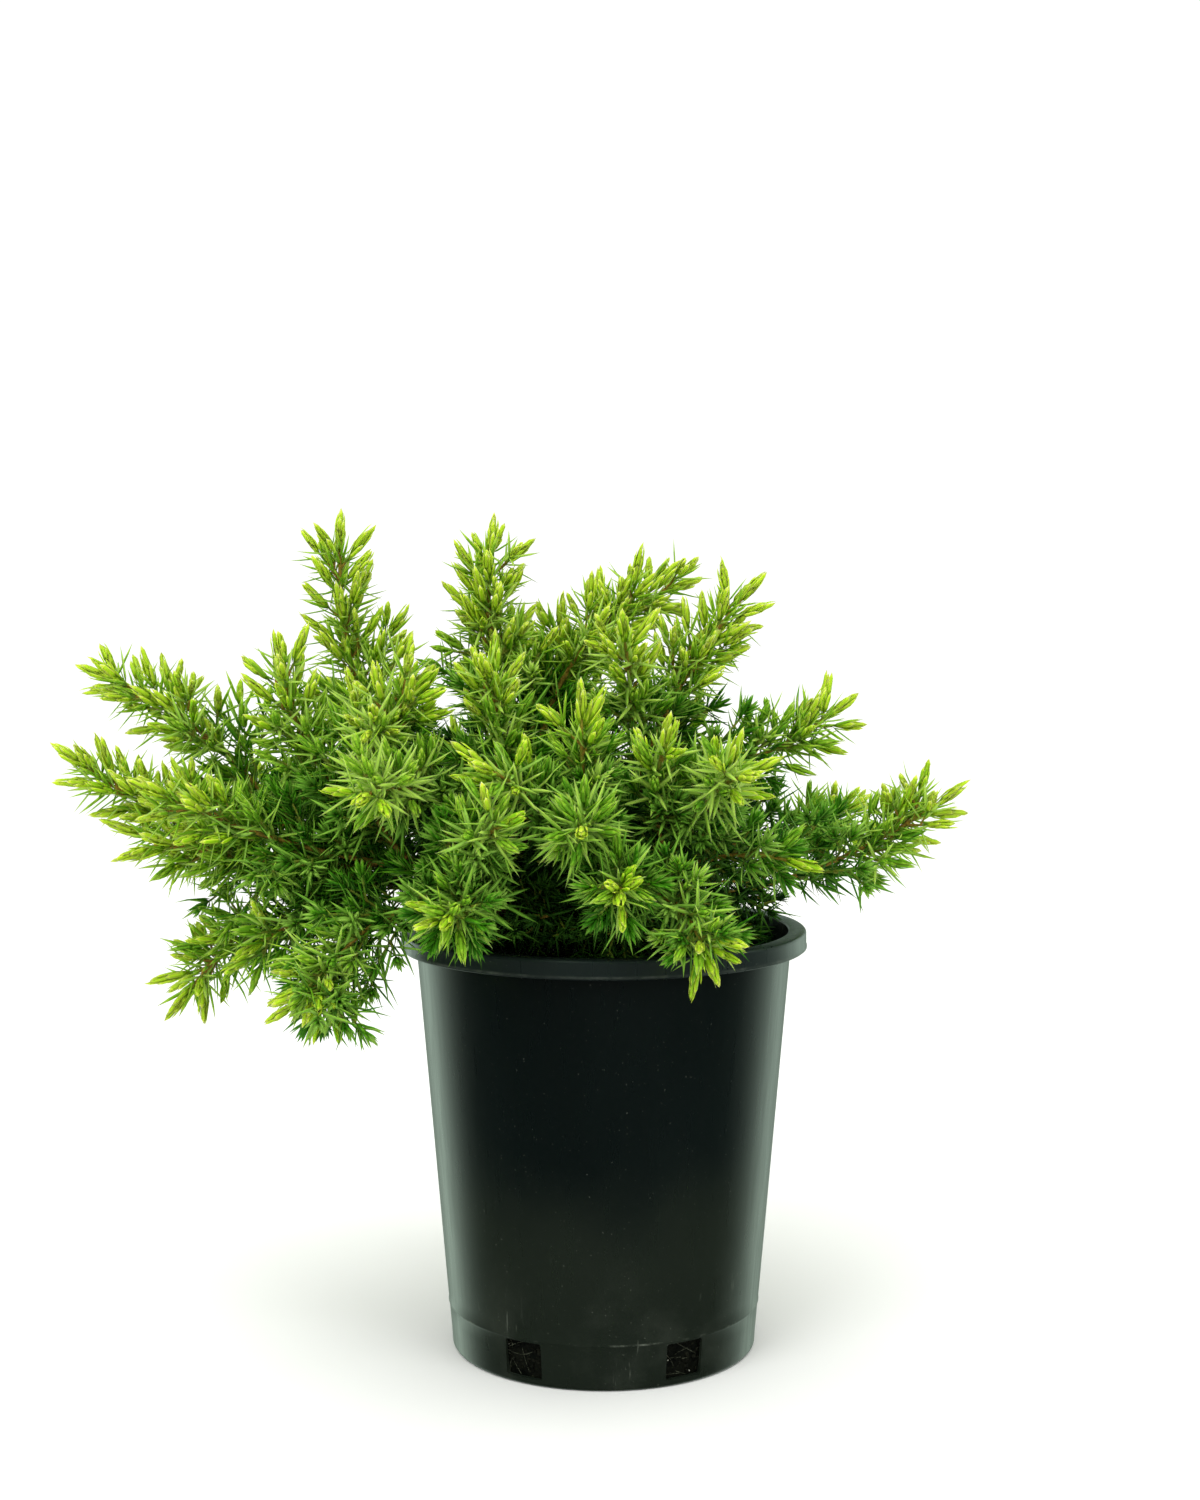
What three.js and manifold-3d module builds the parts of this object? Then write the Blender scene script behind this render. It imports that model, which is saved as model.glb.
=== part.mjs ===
// A young golden shore juniper in a black nursery pot, in millimetres, +Z up.
// The origin is the centre of the pot's flat underside, and the viewer stands at -Y.
// A short trunk stands in the potting mix and forks into boughs. Each bough carries one to three
// masses of foliage. A mass is one stem with side shoots set round it by a seeded rule, and each
// shoot is a spray: a slim core with a pointed tip, out of which needles stand in whorls of three.
import * as THREE from "three";
import { mergeVertices } from "three/addons/utils/BufferGeometryUtils.js";
import Module from "manifold-3d";

const wasm = await Module();
wasm.setup();

// Driving dimensions of the pot
const POT_HEIGHT = 172;
const FOOT_RADIUS = 62.3;
const WALL_TOP_RADIUS = 77;
const WALL = 1.6;
const FLOOR = 2.2;
const LIP_RADIUS = 83;
const LIP_DROP = 7.5;
const LIP_SHEET = 1.8;
const BAND_HEIGHT = 18.5;
const BAND_STEP = 0.4;
const POT_SIDES = 44;

// Driving dimensions of the drainage slots in the foot of the wall
const SLOT_COUNT = 6;
const SLOT_FIRST_HEADING = -60;
const SLOT_WIDTH = 16;
const SLOT_FOOT = 2.6;
const SLOT_TOP = 17.4;

// Driving dimensions of the potting mix and the trunk
const CLEARANCE = 0.3;
const MIX_TOP = 157;
const MIX_CROWN = 1.5;
const TRUNK_RADIUS = 6.6;
const TRUNK_FLARE = 12;
const TRUNK_TIP_RADIUS = 5.2;
const TRUNK_HEIGHT = 34;
const TRUNK_LEAN = 3;
const TRUNK_SIDES = 10;

// Driving dimensions of the boughs and of the foliage
const BOUGH_RADIUS = 2.9;
const BOUGH_TIP_RADIUS = 2.3;
const BOUGH_SIDES = 5;
const BOUGH_RINGS = 5;
const STEM_RADIUS = 1.5;
const STEM_TIP_RADIUS = 0.6;
const STEM_RINGS = 6;
const FORK_SPREAD = 1.9;
const SHOOT_STEP = 13;
const SHOOT_SHORT = 19;
const WHORLS = 2;
const SHOOT_CORE = 2.2;
const WHORLED_SHARE = 0.56;
const NEEDLE_LENGTH = 14;
const NEEDLE_ANGLE = 42;
const TIP_NEEDLE_ANGLE = 24;
const NEEDLE_RADIUS = 1.1;
const GOLDEN_ANGLE = 137.5;
const SKYWARD = 0.28;
const SPACING = 0.4;
const MERGE = 0.02;

// Each bough: the height at which it leaves the trunk, its tip's heading, reach from the pot's axis
// and height, and the angle at which it climbs away.
const BOUGHS = [
  ["bough_hanging_left", 163, -172, 82, 180, 14],
  ["bough_left", 172, 176, 124, 198, 8],
  ["bough_left_front", 178, -160, 84, 203, 20],
  ["bough_left_rising", 184, 168, 86, 226, 30],
  ["bough_front_left_rising", 185, -142, 52, 216, 42],
  ["bough_front_left_low", 167, -132, 68, 188, 16],
  ["bough_front", 180, -100, 44, 207, 38],
  ["bough_front_low", 167, -82, 54, 188, 20],
  ["bough_right_front", 175, -48, 42, 200, 30],
  ["bough_centre_left", 183, 165, 32, 228, 50],
  ["bough_centre_right", 183, 10, 16, 234, 50],
  ["bough_right", 168, -3, 48, 185, 12],
  ["bough_back_right", 176, 46, 40, 194, 24],
  ["bough_back", 170, 92, 42, 190, 26],
  ["bough_back_left", 178, 136, 44, 200, 28],
];

// Each mass: the limb that carries it, the heading, reach and height of its tip, how far the middle of its stem
// lies above the straight line and how far to the left of it, and the length of its lowest shoots.
const MASSES = [
  ["foliage_far_left", "bough_left", -177, 210, 239, -5, 0, 32],
  ["foliage_left_arching", "bough_left", 175, 206, 273, 10, 0, 32],
  ["foliage_left_low", "bough_left_front", -174, 188, 213, -6, 0, 32],
  ["foliage_left_golden", "bough_left_front", -165, 178, 231, -4, 0, 32],
  ["foliage_left_upright", "bough_left_front", -167, 130, 279, -9, 0, 32],
  ["foliage_short_left", "bough_left_front", -139, 96, 270, 0, -16, 28],
  ["foliage_tall_left", "bough_left_rising", 165, 114, 328, -8, 0, 38],
  ["foliage_facing_left", "bough_front_left_rising", -128, 138, 236, 8, -8, 30],
  ["foliage_upright_front", "bough_front_left_rising", -126, 70, 280, -6, 0, 32],
  ["foliage_front_left", "bough_front_left_low", -116, 126, 193, 4, 0, 32],
  ["foliage_front_rising", "bough_front_left_low", -108, 116, 226, 2, -9, 28],
  ["foliage_facing_low_left", "bough_front_left_low", -140, 138, 161, 11, -8, 34],
  ["foliage_hanging_left", "bough_hanging_left", -176, 169, 147, 14, 0, 34],
  ["foliage_low_left", "bough_hanging_left", -160, 142, 173, 6, 0, 34],
  ["foliage_front_high", "bough_front", -113, 106, 244, 4, 0, 30],
  ["foliage_front_centre", "bough_front", -97, 70, 262, -6, 0, 32],
  ["foliage_front_shoulder", "bough_front", -94, 112, 224, 4, 0, 30],
  ["foliage_front_middle", "bough_front_low", -87, 110, 201, 6, 0, 32],
  ["foliage_front_right", "bough_front_low", -70, 108, 178, 12, 0, 32],
  ["foliage_golden_right", "bough_right_front", -61, 104, 241, 8, 0, 30],
  ["foliage_right_low", "bough_right_front", -38, 90, 206, 4, 0, 32],
  ["foliage_right_centre", "bough_right_front", -73, 76, 252, -4, -4, 30],
  ["foliage_tall_middle", "bough_centre_left", 168, 47, 326, -6, 0, 38],
  ["foliage_knob", "bough_centre_left", 122, 34, 294, -4, 0, 28],
  ["foliage_arching_right", "bough_centre_left", 56, 54, 310, 18, 0, 32],
  ["foliage_high_right", "bough_centre_right", 17, 60, 306, 4, 0, 32],
  ["foliage_front_golden", "bough_centre_right", -76, 34, 290, 0, 0, 30],
  ["foliage_mid_right", "bough_centre_right", 16, 100, 258, -7, 0, 32],
  ["foliage_far_right", "bough_right", -4, 136, 224, -5, 0, 34],
  ["foliage_back_far_right", "bough_back_right", 34, 140, 204, 4, 0, 34],
  ["foliage_back_right", "bough_back_right", 62, 132, 224, 4, 0, 34],
  ["foliage_back_middle", "bough_back", 90, 148, 206, 6, 0, 34],
  ["foliage_back_upright", "bough_back", 98, 80, 274, -10, 0, 34],
  ["foliage_back_low", "bough_back", 112, 128, 172, 12, 0, 32],
  ["foliage_back_shoulder", "bough_back_left", 122, 132, 236, 4, 0, 34],
  ["foliage_back_left", "bough_back_left", 156, 178, 218, 4, 0, 34],
  ["foliage_back_rising", "bough_back_left", 149, 132, 260, -8, 0, 34],
  ["foliage_inner_front", "trunk", -95, 36, 250, -4, 0, 34],
  ["foliage_inner_left", "trunk", -158, 62, 244, 4, 0, 34],
  ["foliage_inner_right", "trunk", -20, 54, 236, 6, 0, 34],
  ["foliage_inner_back_right", "trunk", 50, 58, 250, 4, 0, 34],
  ["foliage_inner_back_left", "trunk", 118, 56, 252, 2, 0, 34],
];

const COLOURS = {
  pot: [0x1a2020, 0.42],
  mix: [0x2a2018, 0.95],
  bark: [0x5a4426, 0.85],
  foliage: [0x7fae2c, 0.55],
};

const UP = new THREE.Vector3(0, 0, 1);

// A repeatable stream of numbers from 0 to 1 for each mass.
function seededStream(seed) {
  let state = seed >>> 0;
  return () => {
    state = (state + 0x6d2b79f5) >>> 0;
    let mixed = Math.imul(state ^ (state >>> 15), state | 1);
    mixed ^= mixed + Math.imul(mixed ^ (mixed >>> 7), mixed | 61);
    return ((mixed ^ (mixed >>> 14)) >>> 0) / 4294967296;
  };
}

// A point by its heading round the pot's axis, reach from it and height.
function place(heading, reach, height) {
  const angle = THREE.MathUtils.degToRad(heading);
  return new THREE.Vector3(reach * Math.cos(angle), reach * Math.sin(angle), height);
}

// A unit vector by its heading and its climb above the horizon.
function direction(heading, climb) {
  const rise = THREE.MathUtils.degToRad(climb);
  return place(heading, Math.cos(rise), Math.sin(rise));
}

// Solids

function solidOf(geometry) {
  const bare = geometry.clone();
  bare.deleteAttribute("normal");
  bare.deleteAttribute("uv");
  const merged = mergeVertices(bare, 1e-4);
  return new wasm.Manifold(
    new wasm.Mesh({
      numProp: 3,
      vertProperties: new Float32Array(merged.attributes.position.array),
      triVerts: new Uint32Array(merged.index.array),
    }),
  );
}

function geometryOf(solid) {
  const mesh = solid.getMesh();
  const geometry = new THREE.BufferGeometry();
  geometry.setAttribute("position", new THREE.BufferAttribute(mesh.vertProperties, 3));
  geometry.setIndex(new THREE.BufferAttribute(mesh.triVerts, 1));
  geometry.computeVertexNormals();
  return geometry;
}

// Joins pieces to a stem and keeps the one body that holds it.
function fuse(stem, pieces) {
  const joined = pieces.reduce((whole, piece) => whole.add(piece), stem).simplify(MERGE);
  return joined.decompose().sort((a, b) => b.volume() - a.volume())[0];
}

// A limb of round section along a curve, with its radius a function of the share of its length.
function limbGeometry(curve, radiusAt, sides, rings) {
  const geometry = new THREE.CylinderGeometry(1, 1, 1, sides, rings);
  const frames = curve.computeFrenetFrames(rings, false);
  const position = geometry.attributes.position;
  for (let i = 0; i < position.count; i += 1) {
    const share = position.getY(i) + 0.5;
    const ring = Math.round(share * rings);
    const point = curve.getPointAt(share);
    point.addScaledVector(frames.normals[ring], position.getX(i) * radiusAt(share));
    point.addScaledVector(frames.binormals[ring], -position.getZ(i) * radiusAt(share));
    position.setXYZ(i, point.x, point.y, point.z);
  }
  return geometry;
}

// The plan of a spray: its own axes, its rings and the root and tip of each needle. Each whorl of
// needles stands between two rings of three points, and each ring is turned half a step.
function sprayPlan({ root, aim, roll, needleAngle }, length, whorls) {
  const side = new THREE.Vector3().crossVectors(aim, UP);
  if (side.length() < 0.05) side.set(1, 0, 0);
  side.normalize().applyAxisAngle(aim, roll);
  const pitch = (WHORLED_SHARE * length) / whorls;
  const spread = THREE.MathUtils.degToRad(needleAngle);
  const outward = (sixths) => side.clone().applyAxisAngle(aim, (sixths * Math.PI) / 3);
  const along = (distance) => root.clone().addScaledVector(aim, distance);
  const ringPoint = (ring, i) =>
    along(0.14 * length + pitch * ring).addScaledVector(outward(2 * i + ring), SHOOT_CORE);
  const needleRoot = (whorl, i) =>
    along(0.14 * length + pitch * (whorl + 0.4)).addScaledVector(outward(2 * i + 1 + whorl), SHOOT_CORE * 0.6);
  const needleTip = (whorl, i, share) => {
    const reach = NEEDLE_LENGTH * share;
    const tip = needleRoot(whorl, i).addScaledVector(aim, reach * Math.cos(spread));
    return tip.addScaledVector(outward(2 * i + 1 + whorl), reach * Math.sin(spread));
  };
  return { root, tip: along(length), whorls, ringPoint, needleRoot, needleTip };
}

// A spray from its plan and the share of the full length that each needle has, whorl by whorl.
function sprayGeometry({ root, tip, whorls, ringPoint, needleTip }, shares) {
  const points = [root, tip];
  const triangles = [];
  const add = (point) => points.push(point) - 1;
  const rings = Array.from({ length: whorls + 1 }, (_, ring) => [0, 1, 2].map((i) => add(ringPoint(ring, i))));
  for (const i of [0, 1, 2]) {
    const next = (i + 1) % 3;
    triangles.push(0, rings[0][next], rings[0][i]);
    triangles.push(1, rings[whorls][i], rings[whorls][next]);
    for (let whorl = 0; whorl < whorls; whorl += 1) {
      const [low, high] = [rings[whorl], rings[whorl + 1]];
      const needle = add(needleTip(whorl, i, shares[whorl][i]));
      triangles.push(low[i], low[next], needle, low[next], high[i], needle, high[i], low[i], needle);
      triangles.push(low[next], high[next], high[i]);
    }
  }
  const geometry = new THREE.BufferGeometry().setFromPoints(points);
  geometry.setIndex(triangles);
  return geometry;
}

// Pot

function potGeometry() {
  const wallRadiusAt = (z) => FOOT_RADIUS + ((WALL_TOP_RADIUS - FOOT_RADIUS) * z) / POT_HEIGHT;
  const under = POT_HEIGHT - LIP_SHEET;
  const hem = POT_HEIGHT - LIP_DROP;
  const profile = [
    [0, 0],
    [FOOT_RADIUS - 1.2, 0],
    [FOOT_RADIUS, 1.2],
    [wallRadiusAt(BAND_HEIGHT) - BAND_STEP / 2, BAND_HEIGHT - BAND_STEP],
    [wallRadiusAt(BAND_HEIGHT) + BAND_STEP, BAND_HEIGHT],
    [WALL_TOP_RADIUS, under],
    [LIP_RADIUS - LIP_SHEET, under],
    [LIP_RADIUS - LIP_SHEET, hem],
    [LIP_RADIUS, hem],
    [LIP_RADIUS, POT_HEIGHT - 0.8],
    [LIP_RADIUS - 0.8, POT_HEIGHT],
    [WALL_TOP_RADIUS - WALL, POT_HEIGHT],
    [wallRadiusAt(FLOOR) - WALL, FLOOR],
    [0, FLOOR],
  ].map(([radius, z]) => new THREE.Vector2(radius, z));
  const shell = new THREE.LatheGeometry(profile, POT_SIDES);
  shell.rotateX(Math.PI / 2);
  let pot = solidOf(shell);
  for (let i = 0; i < SLOT_COUNT; i += 1) {
    const slot = new THREE.BoxGeometry(FOOT_RADIUS, SLOT_WIDTH, SLOT_TOP - SLOT_FOOT);
    slot.translate(FOOT_RADIUS, 0, (SLOT_TOP + SLOT_FOOT) / 2);
    slot.rotateZ(THREE.MathUtils.degToRad(SLOT_FIRST_HEADING + (i * 360) / SLOT_COUNT));
    pot = pot.subtract(solidOf(slot));
  }
  return geometryOf(pot);
}

function mixGeometry() {
  const insideRadiusAt = (z) =>
    FOOT_RADIUS + ((WALL_TOP_RADIUS - FOOT_RADIUS) * z) / POT_HEIGHT - WALL - 2 * CLEARANCE;
  const foot = FLOOR + CLEARANCE;
  const profile = [
    [0, foot],
    [insideRadiusAt(foot), foot],
    [insideRadiusAt(MIX_TOP - MIX_CROWN), MIX_TOP - MIX_CROWN],
    [TRUNK_FLARE + 8, MIX_TOP],
    [0, MIX_TOP],
  ].map(([radius, z]) => new THREE.Vector2(radius, z));
  const mix = new THREE.LatheGeometry(profile, POT_SIDES);
  mix.rotateX(Math.PI / 2);
  return mix;
}

// Trunk

const TRUNK_FOOT = MIX_TOP + CLEARANCE;
const trunkCurve = new THREE.QuadraticBezierCurve3(
  new THREE.Vector3(0, 0, TRUNK_FOOT),
  new THREE.Vector3(0, 0, TRUNK_FOOT + TRUNK_HEIGHT / 2),
  new THREE.Vector3(-TRUNK_LEAN, 0, TRUNK_FOOT + TRUNK_HEIGHT),
);

function trunkRadiusAt(share) {
  const flare = (TRUNK_FLARE - TRUNK_RADIUS) * Math.max(0, 1 - share / 0.45) ** 2;
  return THREE.MathUtils.lerp(TRUNK_RADIUS, TRUNK_TIP_RADIUS, share) + flare;
}

function trunkGeometry(margin) {
  return limbGeometry(trunkCurve, (share) => trunkRadiusAt(share) + margin, TRUNK_SIDES, 8);
}

// Boughs

// A limb's line: it leaves its root one way, swings round and reaches its tip another way.
function limbCurve(root, rootAim, tip, tipAim) {
  const span = root.distanceTo(tip);
  return new THREE.CubicBezierCurve3(
    root,
    root.clone().addScaledVector(rootAim, span * 0.42),
    tip.clone().addScaledVector(tipAim, -span * 0.3),
    tip,
  );
}

function boughCurve([, leaves, heading, reach, height, climb]) {
  const share = (leaves - TRUNK_FOOT) / TRUNK_HEIGHT;
  const root = trunkCurve.getPointAt(share);
  const tip = place(heading, reach, height);
  const onward = tip.clone().sub(root).normalize();
  return limbCurve(root, direction(heading, climb), tip, onward);
}

// Each placed limb, shoot or needle claims a line with a radius. Nothing of another node may come
// nearer to it than SPACING.
const claims = [];

function claimAlong(node, curve, radiusAt, steps) {
  for (let i = 0; i < steps; i += 1) {
    const from = curve.getPointAt(i / steps);
    const to = curve.getPointAt((i + 1) / steps);
    claims.push({ node, line: new THREE.Line3(from, to), radius: radiusAt(i / steps) });
  }
}

function lineGap(a, b) {
  return Math.sqrt(a.distanceSqToLine3(b));
}

// The pot, its lip and the mix as one keep-out zone.
function touchesPot(point, radius) {
  const reach = Math.hypot(point.x, point.y);
  if (point.z - radius > POT_HEIGHT + SPACING) return false;
  if (reach - radius > LIP_RADIUS + SPACING) return false;
  const inside = reach + radius < WALL_TOP_RADIUS - 3 * WALL;
  return !(inside && point.z - radius > MIX_TOP + SPACING);
}

function isFree(node, line, radius) {
  for (const share of [0.3, 0.65, 1]) {
    if (touchesPot(line.at(share, new THREE.Vector3()), radius)) return false;
  }
  return claims.every((claim) => {
    return claim.node === node || lineGap(line, claim.line) > radius + claim.radius + SPACING;
  });
}

// Masses

// The bend of a stem from its root to its tip: a control point that puts its middle off the chord.
function bendOf(root, tip, lift, swing) {
  const chord = tip.clone().sub(root);
  const left = new THREE.Vector3().crossVectors(UP, chord).normalize();
  const above = new THREE.Vector3().crossVectors(chord, left).normalize();
  const middle = root.clone().addScaledVector(chord, 0.5);
  return middle.addScaledVector(above, 2 * lift).addScaledVector(left, 2 * swing);
}

// The lines of the stems that a limb carries. Their roots are set evenly round the limb's tip, in
// the order in which the stems bend away from it.
function stemsOf(limb, carrier) {
  const carried = MASSES.filter((mass) => mass[1] === limb);
  const end = carrier.getPointAt(1);
  const onward = carrier.getTangentAt(1);
  const across = new THREE.Vector3().crossVectors(onward, UP).normalize();
  const over = new THREE.Vector3().crossVectors(across, onward);
  const turned = carried.map((mass) => {
    const [, , heading, reach, height, lift, swing] = mass;
    const aim = bendOf(end, place(heading, reach, height), lift, swing).sub(end);
    return { mass, angle: Math.atan2(aim.dot(over), aim.dot(across)) };
  });
  turned.sort((a, b) => a.angle - b.angle);
  const step = (2 * Math.PI) / turned.length;
  const sum = (part) => turned.reduce((total, { angle }, i) => total + part(angle - i * step), 0);
  const start = Math.atan2(sum(Math.sin), sum(Math.cos));
  const spread = turned.length > 1 ? FORK_SPREAD / Math.sin(step / 2) : 0;
  return turned.map(({ mass }, i) => {
    const [name, , heading, reach, height, lift, swing] = mass;
    const root = end.clone().addScaledVector(onward, CLEARANCE);
    root.addScaledVector(across, spread * Math.cos(start + i * step));
    root.addScaledVector(over, spread * Math.sin(start + i * step));
    const tip = place(heading, reach, height);
    return [name, new THREE.QuadraticBezierCurve3(root, bendOf(root, tip, lift, swing), tip)];
  });
}

// Where the side shoots of a mass stand, by a seeded rule. The last one carries on the stem.
function shootsOf(curve, longest, random) {
  const length = curve.getLength();
  const count = Math.floor((length - SHOOT_STEP) / SHOOT_STEP);
  const shoots = [];
  for (let i = 0; i < count; i += 1) {
    const share = (SHOOT_STEP * (i + 0.8 + 0.5 * random())) / length;
    const along = curve.getTangentAt(share);
    const round = THREE.MathUtils.degToRad(GOLDEN_ANGLE * i + 40 * (random() - 0.5));
    const lean = THREE.MathUtils.degToRad(34 + 16 * random());
    const out = new THREE.Vector3().crossVectors(along, UP).normalize().applyAxisAngle(along, round);
    const aim = along.clone().multiplyScalar(Math.cos(lean)).addScaledVector(out, Math.sin(lean));
    aim.addScaledVector(UP, SKYWARD).normalize();
    const reach = SHOOT_SHORT + (longest - SHOOT_SHORT) * (1 - share) ** 0.6 * (0.75 + 0.5 * random());
    const roll = 2 * Math.PI * random();
    shoots.push({ root: curve.getPointAt(share), aim, roll, length: reach, needleAngle: NEEDLE_ANGLE });
  }
  const aim = curve.getTangentAt(1);
  const root = curve.getPointAt(1).addScaledVector(aim, -4);
  const roll = 2 * Math.PI * random();
  shoots.push({ root, aim, roll, length: SHOOT_SHORT + 3, needleAngle: TIP_NEEDLE_ANGLE });
  return shoots;
}

// Fits a shoot in its mass's own space: a shoot that would touch a neighbour is tried shorter, and
// each of its needles is drawn in or left out.
function fitShoot(name, shoot) {
  for (const size of [1, 0.7]) {
    const plan = sprayPlan(shoot, size * shoot.length, WHORLS);
    const core = new THREE.Line3(plan.root.clone().lerp(plan.tip, 0.15), plan.tip);
    if (!isFree(name, core, SHOOT_CORE)) continue;
    const needles = [];
    const shares = Array.from({ length: WHORLS }, (_, whorl) =>
      [0, 1, 2].map((i) => {
        const lineTo = (share) => new THREE.Line3(plan.needleRoot(whorl, i), plan.needleTip(whorl, i, share));
        const share = [1, 0.6].find((tried) => isFree(name, lineTo(tried), NEEDLE_RADIUS)) ?? 0.12;
        needles.push({ node: name, line: lineTo(share), radius: NEEDLE_RADIUS });
        return share;
      }),
    );
    claims.push({ node: name, line: core, radius: SHOOT_CORE }, ...needles);
    return solidOf(sprayGeometry(plan, shares));
  }
  return null;
}

function massGeometry(name, curve, longest, seed, keepOut) {
  const radiusAt = (share) => THREE.MathUtils.lerp(STEM_RADIUS, STEM_TIP_RADIUS, share);
  const stem = solidOf(limbGeometry(curve, radiusAt, 3, STEM_RINGS)).subtract(keepOut);
  const shoots = shootsOf(curve, longest, seededStream(seed)).map((shoot) => fitShoot(name, shoot));
  return geometryOf(fuse(stem, shoots.filter(Boolean)));
}

// Assembly

function mesh(name, geometry, [colour, roughness]) {
  const made = new THREE.Mesh(geometry, new THREE.MeshStandardMaterial({ color: colour, roughness, metalness: 0 }));
  made.name = name;
  return made;
}

const plant = new THREE.Group();
plant.add(mesh("pot", potGeometry(), COLOURS.pot));
plant.add(mesh("potting_mix", mixGeometry(), COLOURS.mix));
plant.add(mesh("trunk", trunkGeometry(0), COLOURS.bark));

const trunkSeat = solidOf(trunkGeometry(CLEARANCE));
claimAlong("trunk", trunkCurve, trunkRadiusAt, 6);
const boughCurves = new Map(BOUGHS.map((bough) => [bough[0], boughCurve(bough)]));
const boughRadiusAt = (share) => THREE.MathUtils.lerp(BOUGH_RADIUS, BOUGH_TIP_RADIUS, share);
let crotch = trunkSeat;
for (const [name, curve] of boughCurves) {
  const limb = solidOf(limbGeometry(curve, boughRadiusAt, BOUGH_SIDES, BOUGH_RINGS));
  const outside = limb.subtract(crotch).decompose().sort((a, b) => b.volume() - a.volume())[0];
  const widerAt = (share) => boughRadiusAt(share) + CLEARANCE * 1.2;
  crotch = crotch.add(solidOf(limbGeometry(curve, widerAt, BOUGH_SIDES, BOUGH_RINGS)));
  claimAlong(name, curve, boughRadiusAt, BOUGH_RINGS);
  plant.add(mesh(name, geometryOf(outside), COLOURS.bark));
}

const carriers = [["trunk", trunkCurve], ...boughCurves];
const stemCurves = new Map(carriers.flatMap(([name, curve]) => stemsOf(name, curve)));
for (const [name, curve] of stemCurves) {
  claimAlong(name, curve, () => STEM_RADIUS, STEM_RINGS);
}
MASSES.forEach(([name, , , , , , , longest], i) => {
  plant.add(mesh(name, massGeometry(name, stemCurves.get(name), longest, i + 1, crotch), COLOURS.foliage));
});

export default plant;
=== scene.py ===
"""Looks of a young golden shore juniper in a black nursery pot, for Blender 4.5.

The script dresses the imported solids. It grows the same boughs and stems again from the same named sizes and
by the same seeded rule, carries them on to finer twigs, and sets needles round them. Sizes are in
millimetres, in the frame of the solids, and each mesh is written in metres.
"""

import logging
import math
from collections.abc import Callable, Iterable
from dataclasses import dataclass, field
from enum import Enum
from functools import partial

import bmesh
import bpy
import numpy as np
from mathutils import Matrix, Vector, noise


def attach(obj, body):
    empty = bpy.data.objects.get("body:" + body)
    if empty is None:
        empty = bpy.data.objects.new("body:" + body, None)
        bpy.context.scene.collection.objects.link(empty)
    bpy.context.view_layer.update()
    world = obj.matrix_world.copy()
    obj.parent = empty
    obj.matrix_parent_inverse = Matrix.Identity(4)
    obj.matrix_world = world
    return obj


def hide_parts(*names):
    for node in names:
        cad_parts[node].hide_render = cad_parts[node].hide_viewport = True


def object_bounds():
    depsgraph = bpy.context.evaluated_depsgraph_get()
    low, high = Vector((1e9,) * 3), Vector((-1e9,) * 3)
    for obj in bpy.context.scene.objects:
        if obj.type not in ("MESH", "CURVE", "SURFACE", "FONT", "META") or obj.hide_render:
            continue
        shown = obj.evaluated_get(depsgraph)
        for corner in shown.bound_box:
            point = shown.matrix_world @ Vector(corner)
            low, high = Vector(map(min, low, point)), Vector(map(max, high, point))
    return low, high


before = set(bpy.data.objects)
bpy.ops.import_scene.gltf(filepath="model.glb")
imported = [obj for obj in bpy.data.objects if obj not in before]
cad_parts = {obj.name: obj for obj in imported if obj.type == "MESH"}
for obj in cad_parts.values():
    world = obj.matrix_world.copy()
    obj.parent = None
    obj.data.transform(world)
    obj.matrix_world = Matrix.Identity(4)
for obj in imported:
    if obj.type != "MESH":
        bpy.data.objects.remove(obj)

Array = np.ndarray
Piece = bpy.types.Object
Shape = bmesh.types.BMesh
Socket = bpy.types.NodeSocket
Outputs = bpy.types.NodeOutputs
Pair = tuple[float, float]
Colour = tuple[float, float, float, float]

CAD_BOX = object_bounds()
MM = 0.001
UP = np.array([0.0, 0.0, 1.0])
FULL_TURN = 2 * math.pi
LOG = logging.getLogger("juniper")

# Each bough: the height at which it leaves the trunk, its tip's heading, reach from the pot's axis
# and height, and the angle at which it climbs away.
BOUGHS = {
    "hanging_left": (163, -172, 82, 180, 14),
    "left": (172, 176, 124, 198, 8),
    "left_front": (178, -160, 84, 203, 20),
    "left_rising": (184, 168, 86, 226, 30),
    "front_left_rising": (185, -142, 52, 216, 42),
    "front_left_low": (167, -132, 68, 188, 16),
    "front": (180, -100, 44, 207, 38),
    "front_low": (167, -82, 54, 188, 20),
    "right_front": (175, -48, 42, 200, 30),
    "centre_left": (183, 165, 32, 228, 50),
    "centre_right": (183, 10, 16, 234, 50),
    "right": (168, -3, 48, 185, 12),
    "back_right": (176, 46, 40, 194, 24),
    "back": (170, 92, 42, 190, 26),
    "back_left": (178, 136, 44, 200, 28),
}

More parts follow.
